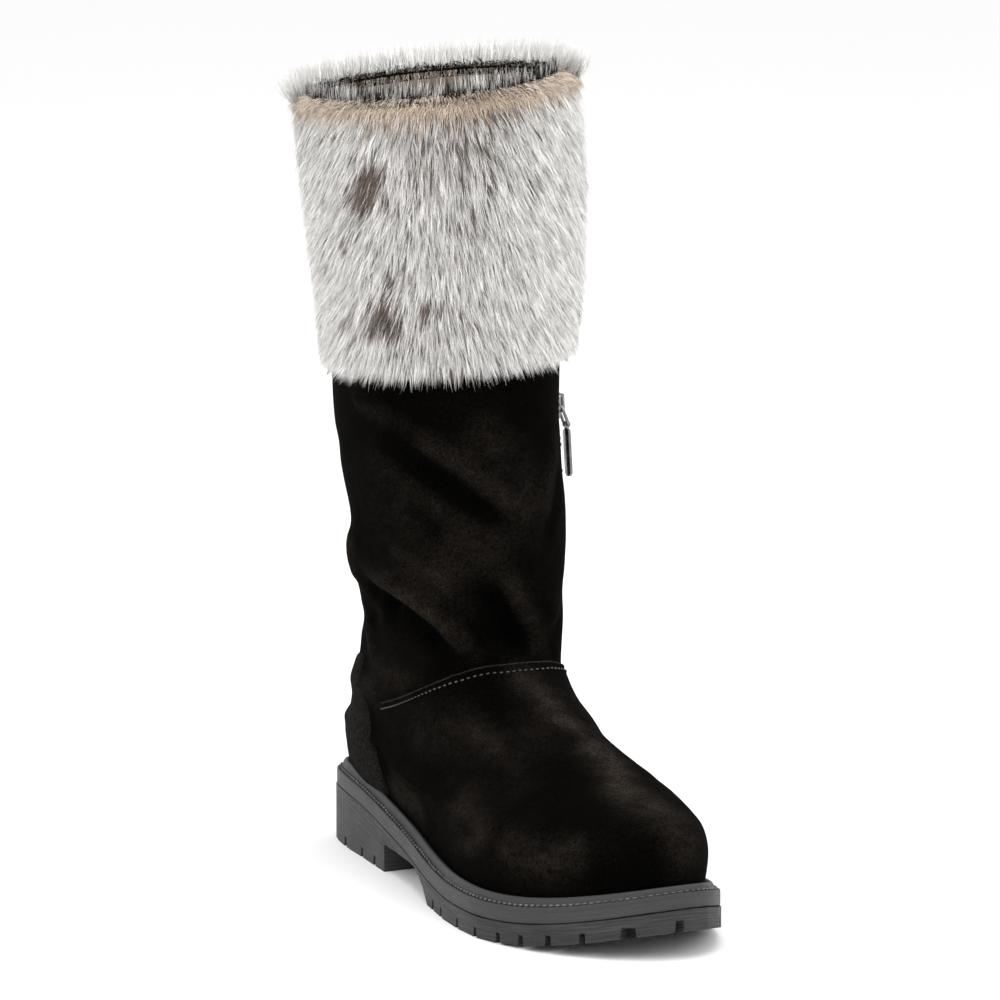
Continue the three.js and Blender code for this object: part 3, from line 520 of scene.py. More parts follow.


# The upper: slouch creases and lighter patches of nap, partly brushed and partly painted highlight, placed on the boot
# in millimetres; the creases also carry painted highlight on their ridges and painted shade in their troughs

upperSet = {"levels": 2, "deepen": 1.35, "paintedLightByRise": 0.16, "wander": 0.55, "sway": 34, "foot": 24, "hem": 226, "zipClear": 17, "pucker": 0.75}
creases = [
    # height over the skin, half width, points
    (2.2, 5.0, [(-40, -80, 200), (-32, -89, 193), (-19, -97, 183), (-6, -100, 172), (7, -99, 163)]),
    (-1.7, 5.5, [(-42, -72, 192), (-31, -88, 182), (-17, -97, 170), (-4, -100, 160)]),
    (1.1, 4.5, [(-49, -44, 214), (-48, -54, 209), (-46, -64, 206), (-40, -75, 203)]),
    (2.6, 4.6, [(-41, -40, 134), (-41, -65, 131), (-37, -79, 126), (-31, -89, 119), (-23, -97, 110),
                (-17, -99, 104)]),
    (-2.3, 4.8, [(-39, -44, 124), (-38, -66, 121), (-32, -81, 114), (-26, -91, 107)]),
    (-1.6, 4.5, [(-21, -100, 115), (-6, -101, 111), (10, -99, 107)]),
    (2.1, 5.0, [(-5, -103, 141), (2, -103, 125), (11, -100, 112), (15, -100, 101)]),
    (-1.9, 5.0, [(-14, -101, 133), (-4, -101, 119), (5, -100, 107)]),
    (2.9, 7.5, [(-41, -30, 150), (-41, -22, 137), (-39, -18, 124)]),
    (-2.4, 4.5, [(-38, -44, 114), (-36, -22, 108), (-28, -4, 105)]),
    (1.5, 4.5, [(-33, -26, 111), (-33, -31, 102), (-32, -31, 93)]),
    (-1.8, 5.0, [(-38, -36, 126), (-39, -53, 122), (-37, -64, 115)]),
    (1.1, 5.0, [(-31, -28, 93), (-32, -51, 88), (-32, -76, 88)]),
    (1.7, 7.5, [(-33, -40, 77), (-31, -16, 77), (-22, 6, 77)]),
    (0.9, 5.0, [(-41, -66, 148), (-32, -88, 138), (-26, -94, 130)]),
    (-0.9, 6.0, [(-42, -60, 176), (-36, -82, 164), (-26, -93, 152)]),
    (0.8, 6.0, [(-44, -52, 186), (-39, -76, 176), (-28, -92, 164)]),
    (1.2, 5.5, [(31, -83, 196), (26, -92, 176), (21, -97, 158)]),
    (-1.1, 5.5, [(33, -78, 180), (27, -90, 164), (20, -97, 148)]),
    (1.4, 5.0, [(30, -78, 138), (25, -91, 126), (20, -98, 116)]),
    (-1.2, 5.0, [(32, -74, 128), (27, -88, 116), (22, -97, 106)]),
    (1.5, 5.5, [(-30, -4, 150), (-16, 7, 140), (2, 10, 134), (18, 6, 138)]),
    (-1.6, 5.5, [(-32, -6, 138), (-16, 6, 128), (4, 8, 122), (22, 4, 126)]),
    (1.2, 5.5, [(-34, -8, 116), (-18, 2, 112), (2, 5, 109), (20, 2, 112)]),
    (-1.0, 6.0, [(-40, -10, 186), (-22, 8, 176), (0, 12, 170)]),
    (1.0, 6.0, [(34, -6, 172), (20, 8, 162), (0, 12, 156)]),
    (0.8, 3.6, [(-49, -139, 30), (-53, -164, 34), (-53, -178, 42), (-48, -176, 50)]),
    (-0.8, 3.6, [(-51, -150, 44), (-53, -166, 40)]),
    (-0.7, 4.5, [(-33, -59, 46), (-44, -100, 46), (-50, -128, 44)]),
    (0.8, 5.0, [(-30, -110, 76), (-24, -140, 66), (-30, -168, 60)]),
    (-0.7, 5.0, [(-20, -118, 82), (-16, -148, 72)]),
    (0.7, 5.0, [(26, -112, 82), (34, -134, 66), (36, -158, 54)]),
    (0.6, 5.0, [(20, -200, 56), (30, -184, 50), (36, -166, 42)]),
]
patches = [
    # strength, radius, points
    (0.85, 9, [(1, -113, 93), (7, -120, 88), (7, -134, 80)]),
    (0.55, 6, [(10, -138, 78), (12, -150, 74), (8, -165, 70)]),
    (1.05, 8, [(10, -160, 72), (8, -178, 67), (2, -198, 63)]),
    (0.80, 9, [(-2, -206, 62), (-2, -224, 60)]),
    (0.55, 9, [(0, -238, 55), (4, -250, 47)]),
    (0.60, 8, [(-31, -50, 37), (-37, -85, 35)]),
    (0.50, 9, [(-49, -146, 50), (-53, -166, 44)]),
    (0.55, 8, [(-51, -192, 39), (-44, -213, 37), (-37, -222, 43)]),
    (0.30, 12, [(-35, -82, 68), (-17, -142, 73)]),
    (0.30, 14, [(-40, -75, 166), (-24, -95, 152), (-35, -84, 136)]),
    (0.28, 12, [(-10, -100, 196), (8, -100, 186), (18, -98, 172)]),
    (0.45, 9, [(30, -62, 46), (36, -96, 38), (40, -130, 34)]),
    (0.50, 8, [(38, -186, 40), (30, -214, 40)]),
    (0.35, 12, [(26, -110, 76), (30, -150, 58)]),
    (0.30, 14, [(0, 10, 160), (10, 8, 130), (-6, 6, 112)]),
]
shaftAxis = np.array([(-4.6, -28, 345), (-2, -32, 250), (1.4, -35, 205), (2.9, -38, 190), (2.5, -39.5, 167),
                      (3.7, -44, 145), (2.9, -46, 128), (5, -46, 111), (3, -44, 62)], dtype=float)
footAxis = np.array([(2, -8, 58), (1, -60, 55), (-3, -120, 46), (-5, -170, 38), (-3, -214, 34)], dtype=float)


def awayFromMiddle(points):
    # Direction from the inside of the boot, in millimetres
    best, result = None, None
    for axis in (shaftAxis, footAxis):
        for start, end in zip(axis[:-1], axis[1:]):
            step = end - start
            t = np.clip((points - start) @ step / (step @ step), 0, 1)
            away = points - start - t[:, None] * step
            far = np.linalg.norm(away, axis=1)
            if best is None:
                best, result = far, away
            else:
                nearer = far < best
                best = np.where(nearer, far, best)
                result = np.where(nearer[:, None], away, result)
    return result / best[:, None]


def fadeIn(values, low, high):
    t = np.clip((values - low) / (high - low), 0, 1)
    return t * t * (3 - 2 * t)


def zipLine():
    # The zip's middle, from its chain in the frame
    chain = positions(nodes["zip_chain"].data) / mm
    levels = np.arange(chain[:, 2].min() + 1, chain[:, 2].max(), 4)
    across, along = (np.polyval(np.polyfit(chain[:, 2], chain[:, axis], 4), levels) for axis in (0, 1))
    return np.stack([across, along, levels], axis=1)


zipMiddle = zipLine()


def slouch(points):
    # Height of the creases over the plain skin; this height later becomes painted highlight on the ridges and painted
    # shade in the troughs
    rise = np.zeros(len(points))
    for height, width, line in creases:
        away, where = lineDistance(points, np.array(line, dtype=float))
        taper = fadeIn(where, -0.02, 0.22) * fadeIn(1.02 - where, 0, 0.22)
        rise += upperSet["deepen"] * height * np.exp(-(away / width) ** 2) * (0.25 + 0.75 * taper)
    sway = np.array([fieldNoise.noise(Vector(p) / upperSet["sway"]) for p in points])
    small = np.array([fieldNoise.noise(Vector(p) / 11 + Vector((7, 3, 1))) for p in points])
    rise += upperSet["wander"] * (sway * 1.6 + small * 0.5)
    fromZip = lineDistance(points, zipMiddle)[0]
    clearZip = fadeIn(fromZip, 10, upperSet["zipClear"])
    overSole = fadeIn(points[:, 2] - seatHeight(points[:, 1]), 4, 16)
    underCuff = 1 - fadeIn(points[:, 2], upperSet["hem"] - 14, upperSet["hem"])
    ripple = np.sin(points[:, 2] / 2.1 + 1.4 * np.sin(points[:, 2] / 9)) * fadeIn(points[:, 2], 92, 125)
    pucker = upperSet["pucker"] * ripple * np.exp(-((fromZip - 15) / 5.5) ** 2) * (points[:, 1] < zipMiddle[:, 1].mean())
    return (rise * clearZip * overSole + pucker) * underCuff


def brushed(points, rise):
    # Nap value: painted highlight on crease ridges and painted shade in crease troughs from the crease height, plus
    # lighter patches, partly brushed nap and partly painted highlight
    napAndPaintedLight = np.clip(rise * upperSet["paintedLightByRise"], -0.9, 0.5)
    for strength, radius, line in patches:
        away, where = lineDistance(points, np.array(line, dtype=float))
        napAndPaintedLight += strength * np.exp(-(away / radius) ** 2)
    return napAndPaintedLight


def dressSkin(mesh):
    points = positions(mesh) / mm
    outward = awayFromMiddle(points)
    normals = vertexNormals(mesh)
    inside = (np.einsum("ij,ij->i", normals, outward) < 0) & (points[:, 2] > seatHeight(points[:, 1]) + 2)
    way = np.where(inside[:, None], -normals, normals)
    rise = slouch(points)
    setPositions(mesh, (points + way * rise[:, None]) * mm)
    setValue(mesh, "napAndPaintedLight", brushed(points, rise))
    setValue(mesh, "inside", inside.astype(float))


def addUpper():
    bm = mergedCopy("upper")
    mesh = subdivided(bm, "suedeUpper", upperSet["levels"])
    bm = bmesh.new()
    bm.from_mesh(mesh)
    upright = [edge for edge in bm.edges
               if 98 < edge.verts[0].co.z / mm < 228 and 98 < edge.verts[1].co.z / mm < 228
               and abs(edge.verts[0].co.z - edge.verts[1].co.z) > 0.75 * edge.calc_length()
               and edge.calc_length() > 2.6 * mm]
    bmesh.ops.subdivide_edges(bm, edges=upright, cuts=1)
    mesh = toMesh(bm, "suedeUpper")
    dressSkin(mesh)
    shadeSmooth(mesh, math.radians(60))
    return mesh


# The heel panel: turn in degrees from the back about the leg, heights in millimetres

panelSet = {"centre": (3, -46), "proud": 0.9, "across": 56, "upward": 44, "swell": 1.6,
            "top": (86.9, 5.2)}
panelEdge = np.array([
    # height, turn on the outer side, turn on the inner side
    (33, -76, 44.5), (38, -69, 45), (44, -60, 45.5), (52, -53, 46.5), (60, -49.5, 48), (70, -47, 50.5),
    (79, -46, 52.5), (88, -49, 54), (93, -51, 55)], dtype=float)


def addCounter(upperTree):
    # Laid close over the dressed upper, with its rim turned in
    def stops(count):
        inner = np.linspace(0, 1, count)[1:-1]
        rim = np.array([0.008, 0.02])
        return np.concatenate([[0], rim, inner[(inner > 0.03) & (inner < 0.97)], 1 - rim[::-1], [1]])

    across, upward = stops(panelSet["across"]), stops(panelSet["upward"])
    middles, ways, far, extra = [], [], [], []
    for v in upward:
        for u in across:
            z = 36 + v * 52
            for pass_ in range(3):
                outer, inner = (np.interp(z, panelEdge[:, 0], panelEdge[:, side]) for side in (1, 2))
                turn = outer + u * (inner - outer)
                a = math.radians(turn)
                way = Vector((math.sin(a), math.cos(a), 0))
                top = panelSet["top"][0] + panelSet["top"][1] * (turn / 52) ** 2
                start = Vector((*panelSet["centre"], z)) + way * 130
                hit, normal, _, _ = upperTree.ray_cast(start * mm, -way)
                bottom = float(seatHeight(hit.y / mm)) + 1.2
                z = bottom + v * (top - bottom)
            rim = min(u * 95, (1 - u) * 95, v * 52, (1 - v) * 22)
            high = np.interp(rim, (0, 0.6, 1.6), (-0.35, 0.7, 1)) * panelSet["proud"]
            swell = panelSet["swell"] * math.exp(-((z - 56) / 15) ** 2) * fadeIn(rim, 0, 14)
            middle = Vector((*panelSet["centre"], z)) * mm
            middles.append(middle)
            ways.append(way)
            far.append((hit - middle).length)
            extra.append((high + swell) * mm)
    wide = len(across)
    far = least = np.array(far).reshape(-1, wide)
    for pass_ in range(260):
        padded = np.pad(far, 1, mode="edge")
        around = (padded[2:, 1:-1] + padded[:-2, 1:-1] + padded[1:-1, 2:] + padded[1:-1, :-2]) / 4
        around[[0, -1]], around[:, [0, -1]] = far[[0, -1]], far[:, [0, -1]]
        far = np.maximum(least, around)
    far = far.ravel() + extra
    places = [middle + way * reach for middle, way, reach in zip(middles, ways, far)]
    faces = [(i + j * wide, i + 1 + j * wide, i + 1 + (j + 1) * wide, i + (j + 1) * wide)
             for j in range(len(upward) - 1) for i in range(wide - 1)]
    mesh = bpy.data.meshes.new("heelPanel")
    mesh.from_pydata(places, [], faces)
    points = positions(mesh) / mm
    if np.einsum("ij,ij->i", vertexNormals(mesh), awayFromMiddle(points)).mean() < 0:
        mesh.flip_normals()
    # Panel nap: a base amount plus the lighter patches, partly brushed nap and partly painted highlight
    setValue(mesh, "napAndPaintedLight", 0.25 + brushed(points, np.zeros(len(points))))
    shadeSmooth(mesh)
    return mesh


# Stitches

stitchSet = {
    "ankle": {"pitch": 2.7, "length": 1.9, "thick": 0.42, "below": 2.6, "edge": 0.42, "sink": -0.2},
    "zip": {"pitch": 2.9, "length": 1.9, "thick": 0.36, "ahead": 21, "behind": 13, "sink": -0.1},
    "welt": {"pitch": 3.2, "length": 2.5, "thick": 0.58, "sink": -1.2, "groove": 0.6},
}


def stitchShape(length, thick):
    bm = bmesh.new()
    bmesh.ops.create_icosphere(bm, subdivisions=1, radius=1)
    bmesh.ops.scale(bm, vec=(thick * mm, length / 2 * mm, thick * mm), verts=bm.verts)
    bm.verts.ensure_lookup_table()
    bm.verts.index_update()
    return bm


def onSkin(tree, stops):
    # Where level rays from outside meet the dressed upper
    found = []
    for stop in stops:
        away = np.array([stop[0] - panelSet["centre"][0], stop[1] - panelSet["centre"][1], 0])
        away /= np.linalg.norm(away)
        hit, normal, _, _ = tree.ray_cast(Vector((stop + away * 12) * mm), Vector(-away))
        if hit:
            found.append((hit, normal))
    return found


def addStitches(name, line, settings, tree, material, fromOutside=True):
    # Lays a row of stitches on the surface below it
    stops = smoothLine(line, settings["pitch"])
    places, normals = [], []
    nearest = [tree.find_nearest(Vector(stop * mm))[:2] for stop in stops]
    for hit, normal in onSkin(tree, stops) if fromOutside else nearest:
        places.append(hit + normal * (settings["thick"] * (0.5 - settings["sink"]) * mm))
        normals.append(normal)
    places, normals = np.array(places), np.array(normals)
    along = unit(np.gradient(places, axis=0))
    across = unit(np.cross(along, normals))
    up = np.cross(across, along)
    shape = stitchShape(settings["length"], settings["thick"])
    obj = joinedCopies(name, shape, places, across, along, up, material)
    shape.free()
    return obj


def ankleLine():
    # The raised top edge of the foot part, from the frame's upper
    bm = mergedCopy("upper")
    found = set()
    for edge in bm.edges:
        middle = (edge.verts[0].co + edge.verts[1].co) / 2 / mm
        run = (edge.verts[1].co - edge.verts[0].co).normalized()
        if 60 < middle.z < 116 and abs(run.z) < 0.75 and len(edge.link_faces) == 2:
            if edge.calc_face_angle_signed(0) > math.radians(34):
                away = awayFromMiddle(np.array([middle]))[0]
                normal = edge.link_faces[0].normal + edge.link_faces[1].normal
                if normal.dot(Vector(away)) > 0:
                    found.update(edge.verts)
    points = np.array([vertex.co / mm for vertex in found])
    bm.free()
    turn = np.arctan2(points[:, 0] - 3, -(points[:, 1] + 46))
    line = []
    for low in np.radians(np.arange(-118, 58, 4)):
        near = points[(turn >= low) & (turn < low + math.radians(6))]
        if len(near):
            line.append(np.median(near, axis=0))
    line = np.array(line)
    padded = np.pad(line, ((4, 4), (0, 0)), mode="edge")
    line = np.median(np.stack([padded[i:len(line) + i] for i in range(9)]), axis=0)
    padded = np.pad(line, ((2, 2), (0, 0)), mode="edge")
    return np.mean(np.stack([padded[i:len(line) + i] for i in range(5)]), axis=0)


def addSeamEdge(line, tree, material):
    # The raw cut edge of the foot part, a thin raised line
    stops = smoothLine(line, 1.6)
    curve = bpy.data.curves.new("ankleEdge", "CURVE")
    curve.dimensions = "3D"
    curve.bevel_depth = stitchSet["ankle"]["edge"] * mm
    curve.bevel_resolution = 1
    spline = curve.splines.new("POLY")
    spots = onSkin(tree, stops)
    spline.points.add(len(spots) - 1)
    for point, (hit, normal) in zip(spline.points, spots):
        point.co = (*(hit + normal * 0.05 * mm), 1)
    holder = bpy.data.objects.new("ankleEdge", curve)
    scene.collection.objects.link(holder)
    mesh = bpy.data.meshes.new_from_object(holder.evaluated_get(bpy.context.evaluated_depsgraph_get()))
    bpy.data.objects.remove(holder)
    mesh.shade_smooth()
    return newObject("ankleEdge", mesh, material, "boot")


# The zip: teeth on the chain's middle, and its steel

zipSet = {"pitch": 2.1, "tooth": (3.9, 1.25, 1.25), "stagger": 0.75, "edge": 0.22}


def toothShape():
    bm = bmesh.new()
    bmesh.ops.create_cube(bm, size=1)
    bmesh.ops.scale(bm, vec=[side * mm for side in zipSet["tooth"]], verts=bm.verts)
    bmesh.ops.bevel(bm, geom=bm.edges[:], offset=0.28 * mm, offset_type="OFFSET", affect="EDGES", segments=1,
                    profile=0.5, material=-1)
    bm.verts.ensure_lookup_table()
    bm.verts.index_update()
    return bm


def addTeeth(material):
    tree = treeOf(nodes["zip_chain"].data)
    stops = smoothLine(zipMiddle, zipSet["pitch"])
    places, normals = [], []
    for stop in stops:
        hit, normal, _, _ = tree.ray_cast(Vector((0.2, stop[1] * mm, stop[2] * mm)), Vector((-1, 0, 0)))
        if hit:
            places.append(hit)
            normals.append(normal)
    places, normals = np.array(places), unit(np.array(normals))
    for pass_ in range(4):
        normals[1:-1] = unit(normals[:-2] + normals[1:-1] + normals[2:])
    along = unit(np.gradient(places, axis=0))
    across = unit(np.cross(along, normals))
    up = np.cross(across, along)
    swing = np.where(np.arange(len(places)) % 2 == 0, 1, -1)[:, None] * zipSet["stagger"] * mm
    shape = toothShape()
    obj = joinedCopies("zipTeeth", shape, places + across * swing - up * 0.5 * mm, across, along, up,
                       material)
    shape.free()
    return obj


def bevelled(node, name, width, material, body, angle=30):
    # A copy of a hard piece with its edges eased
    bm = mergedCopy(node)
    bmesh.ops.dissolve_limit(bm, angle_limit=math.radians(1), verts=bm.verts, edges=bm.edges)
    sharp = [edge for edge in bm.edges if len(edge.link_faces) == 2
             and edge.calc_face_angle(0) > math.radians(angle)]
    bmesh.ops.bevel(bm, geom=sharp, offset=width * mm, offset_type="OFFSET", affect="EDGES", segments=2,
                    profile=0.5, material=-1, clamp_overlap=True)
    mesh = toMesh(bm, name)
    shadeSmooth(mesh, math.radians(42))
    obj = newObject(name, mesh, material, body)
    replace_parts(obj, node)
    return obj


# The sole

def measureBelow(mesh):
    points = positions(mesh) / mm
    setValue(mesh, "below", seatHeight(points[:, 1]) - points[:, 2])


def addSole(materials):
    bm = mergedCopy("welt")

    def lowEdge(edge):
        return float(all(seatHeight(vertex.co.y / mm) - vertex.co.z / mm > 2.2 for vertex in edge.verts))

    for vertex in bm.verts:
        rise = vertex.co.z / mm - seatHeight(vertex.co.y / mm)
        if abs(rise + 0.5) < 0.03:
            vertex.co.z -= stitchSet["welt"]["groove"] * mm
        elif rise > 1:
            vertex.co.z += 0.14 * rise * mm
    welt = subdivided(bm, "weltRand", 2, lowEdge)
    measureBelow(welt)
    shadeSmooth(welt, math.radians(70))
    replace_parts(newObject("weltRand", welt, materials["rand"], "boot"), "welt")
    bm = mergedCopy("midsole")
    for vertex in bm.verts:
        upward = seatHeight(vertex.co.y / mm) - vertex.co.z / mm < 4
        vertex.co.z += (0.26 if upward else -0.3) * mm
    band = subdivided(bm, "midsoleBand", 2, 1)
    measureBelow(band)
    shadeSmooth(band, math.radians(50))
    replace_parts(newObject("midsoleBand", band, materials["band"], "boot"), "midsole")
    bm = mergedCopy("outsole")
    bmesh.ops.dissolve_limit(bm, angle_limit=math.radians(0.6), verts=bm.verts, edges=bm.edges)
    mesh = toMesh(bm, "lugSole")
    obj = newObject("lugSole", mesh, materials["lugs"], "boot")
    ease = obj.modifiers.new("easedEdges", "BEVEL")
    ease.width = 0.3 * mm
    ease.segments = 2
    ease.limit_method = "ANGLE"
    ease.angle_limit = math.radians(40)
    evaluated = obj.evaluated_get(bpy.context.evaluated_depsgraph_get())
    eased = bpy.data.meshes.new_from_object(evaluated)
    obj.modifiers.clear()
    obj.data = eased
    measureBelow(eased)
    shadeSmooth(eased, math.radians(32))
    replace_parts(obj, "outsole")


def weltLine():
    # The stitch groove of the welt, just inside its edge
    points = positions(nodes["welt"].data) / mm
    rise = points[:, 2] - seatHeight(points[:, 1])
    groove = np.unique(np.round(points[np.abs(rise + 0.5) < 0.03], 2), axis=0)
    turn = np.arctan2(groove[:, 0] + 4, -(groove[:, 1] + 112))
    return groove[np.argsort(turn)]


# The cuff's fur. turn is in degrees from the shin, positive on the inner side; facing is the turn that
# the coat parts from, and fan how far it swings sideways a quarter of the way round.

furSet = {"facing": -27.87, "fan": 38, "centre": (-2, -30), "hide": 3.0,
          "coat": {"pieces": 3, "hairs": 56000, "locks": 26000, "length": 11.5, "width": 0.25, "lift": 17,
                   "gather": 0.75},
          "ridge": {"hairs": 46000, "length": 6.6, "width": 0.22},
          "streaks": {"hairs": 13000, "locks": 1700, "length": 9.5, "width": 0.30, "gather": 0.5},
          "fluff": {"hairs": 14000, "length": 12, "width": 0.24, "rootAlong": 0.7},
          "shearling": {"hairs": 22000, "length": 4.5, "width": 0.34}}
furSpots = [
    # strength, x, y, z, half width, half height, slant in degrees
    (1.00, -53, -64, 304, 7.5, 13, 24), (0.75, -50, -66, 308, 6, 9, 10), (0.70, -56, -54, 280, 3, 5, 20),
    (0.45, -58, -37, 275, 3, 6, 25), (0.45, -46, -77, 264, 5, 8, 10), (1.00, -48, -72, 247, 9, 7, 35),
    (0.55, -47, -76, 254, 5, 5, 0), (0.45, -55, -52, 247, 4, 8, 25), (0.38, -34, -91, 257, 4, 4, 0),
    (0.40, 11, -99, 310, 4, 6, -20), (0.10, -14, -99, 300, 14, 20, 0),
    (0.85, 52, -40, 300, 7, 11, -15), (0.60, 54, -30, 262, 6, 8, -10), (0.80, 30, 18, 280, 9, 8, 0),
    (0.55, -6, 26, 308, 8, 10, 0), (0.75, -30, 18, 256, 8, 8, 10), (0.45, 44, -72, 250, 5, 8, -20),
]


def turnOf(points):
    return np.arctan2(points[:, 0] - furSet["centre"][0], -(points[:, 1] - furSet["centre"][1]))


def byTurn(turn, values, lowest):
    # The lowest or highest value round the cuff, smoothed over a dozen degrees
    bins = 48
    slot = ((turn + math.pi) / (2 * math.pi) * bins).astype(int) % bins
    row = np.array([(values[slot == i].min() if lowest else values[slot == i].max()) for i in range(bins)])
    row = (np.roll(row, 1) + 2 * row + np.roll(row, -1)) / 4
    return lambda at: np.interp(at, (np.arange(bins) + 0.5) / bins * 2 * math.pi - math.pi, row,
                                period=2 * math.pi)


def sampleCuff():
    # Random places on the frame's fur, in millimetres, with the face's normal
    mesh = nodes["fur_cuff"].data
    mesh.calc_loop_triangles()
    points = positions(mesh) / mm
    corners = np.empty(len(mesh.loop_triangles) * 3, dtype=int)
    mesh.loop_triangles.foreach_get("vertices", corners)
    triangles = points[corners.reshape(-1, 3)]
    cross = np.cross(triangles[:, 1] - triangles[:, 0], triangles[:, 2] - triangles[:, 0])
    area = np.linalg.norm(cross, axis=1) / 2

    def sample(count, keep=None):
        weight = area if keep is None else area * keep(triangles.mean(axis=1), unit(cross))
        picks = rng.choice(len(area), count, p=weight / weight.sum())
        a, b = rng.random((2, count))
        flip = a + b > 1
        a[flip], b[flip] = 1 - a[flip], 1 - b[flip]
        picked = triangles[picks]
        spots = picked[:, 0] + a[:, None] * (picked[:, 1] - picked[:, 0]) + b[:, None] * (picked[:, 2] - picked[:, 0])
        return spots, unit(cross[picks])
    return sample, points


def outwardOf(points):
    turn = turnOf(points)
    return np.stack([np.sin(turn), -np.cos(turn), np.zeros(len(turn))], axis=1)


def flowOf(points, jitter=0):
    # The way the coat lies: down, fanning to both sides
    turn = turnOf(points)
    swing = np.radians(furSet["fan"]) * np.sin(turn - math.radians(furSet["facing"]))
    swing += np.radians(5) * np.sin(points[:, 2] / 9 + 3 * turn) * np.cos(points[:, 2] / 21 - 5 * turn) + jitter
    across = np.stack([np.cos(turn), np.sin(turn), np.zeros(len(turn))], axis=1)
    down = np.array([0, 0, -1.0])
    return across * np.sin(swing)[:, None] + down * np.cos(swing)[:, None]


def coatTint(points):
    # How grey the plain coat is, and how much of it a brown spot takes
    turn = np.degrees(turnOf(points))
    middle = np.exp(-((turn + 22) / 30) ** 2) * (0.20 + 0.10 * fadeIn(points[:, 2], 270, 340))
    grey = 0.10 * np.exp(-((turn + 75) / 24) ** 2) + 0.22 * np.exp(-((np.abs(turn) - 150) / 40) ** 2)
    under = 0.22 * np.exp(-((turn + 12) / 24) ** 2) * fadeIn(points[:, 2], 305, 335)
    plain = 0.03 + middle + grey + under
    spotted = np.zeros(len(points))
    for strength, x, y, z, wide, tall, slant in furSpots:
        spot = np.array([(x, y, z)], dtype=float)
        gap = (np.degrees(turnOf(spot))[0] - turn + 180) % 360 - 180
        side = -gap * math.radians(1) * 62
        rise = points[:, 2] - z
        a = math.radians(slant)
        u = side * math.cos(a) - rise * math.sin(a)
        v = side * math.sin(a) + rise * math.cos(a)
        wobble = 1 + 0.28 * np.sin(points[:, 2] * 0.9 + turn * 0.35) * np.sin(turn * 0.8)
        spotted += strength * np.exp(-((u / wide) ** 2 + (v / tall) ** 2) ** 1.4 * wobble)
    return plain, np.clip(spotted, 0, 1)


def ribbonHairs(name, roots, out, lie, settings, tint, shade, material, lift, curl=0.0, droop=0.0):
    # Each hair is a narrow ribbon that narrows to a point: five corners, three triangles
    count = len(roots)
    length = settings["length"] * (0.72 + 0.5 * rng.random(count))
    if "scale" in settings:
        length = length * settings["scale"]
    first = unit(lie * np.cos(lift)[:, None] + out * np.sin(lift)[:, None])
    later = lift * 0.45 + curl
    second = unit(lie * np.cos(later)[:, None] + out * np.sin(later)[:, None] - np.array([0, 0, 1]) * droop)
    middle = roots + first * (length * 0.5)[:, None]
    tip = middle + second * (length * 0.5)[:, None]
    side = unit(np.cross(first, out))
    twist = rng.normal(0, 0.5, count)
    side = unit(side * np.cos(twist)[:, None] + out * np.sin(twist)[:, None])
    half = settings["width"] / 2 * (0.7 + 0.6 * rng.random(count))[:, None]
    corners = np.stack([roots - side * half, roots + side * half, middle - side * half * 0.8,
                        middle + side * half * 0.8, tip], axis=1) * mm
    base = np.arange(count)[:, None] * 5
    quads = base + np.array([0, 1, 3, 2])
    ends = base + np.array([2, 3, 4])
    facing = np.cross(corners[:, 1] - corners[:, 0], corners[:, 2] - corners[:, 0])
    wrong = np.einsum("ij,ij->i", facing, out) < 0
    quads[wrong] = quads[wrong][:, ::-1]
    ends[wrong] = ends[wrong][:, ::-1]
    mesh = bpy.data.meshes.new(name)
    mesh.from_pydata(corners.reshape(-1, 3).tolist(), [], quads.tolist() + ends.tolist())
    mesh.shade_smooth()
    soft = unit(out + 0.35 * rng.normal(0, 1, (count, 3)))
    mesh.normals_split_custom_set_from_vertices(np.repeat(soft, 5, axis=0).tolist())
    setValue(mesh, "tint", np.repeat(tint, 5))
    setValue(mesh, "shade", np.repeat(shade, 5))
    # A higher start at the root gives the hair less painted root shade
    start = np.broadcast_to(settings.get("rootAlong", 0.0), count)
    along = np.stack([start, start, 0.5 + start / 2, 0.5 + start / 2, np.ones(count)], axis=1)
    setValue(mesh, "along", along.ravel())
    return newObject(name, mesh, material, "boot")


def gathered(spots, locks):
    # Which lock each hair belongs to
    tree = KDTree(len(locks))
    for i, lock in enumerate(locks):
        tree.insert(lock, i)
    tree.balance()
    return np.array([tree.find(spot)[1] for spot in spots])


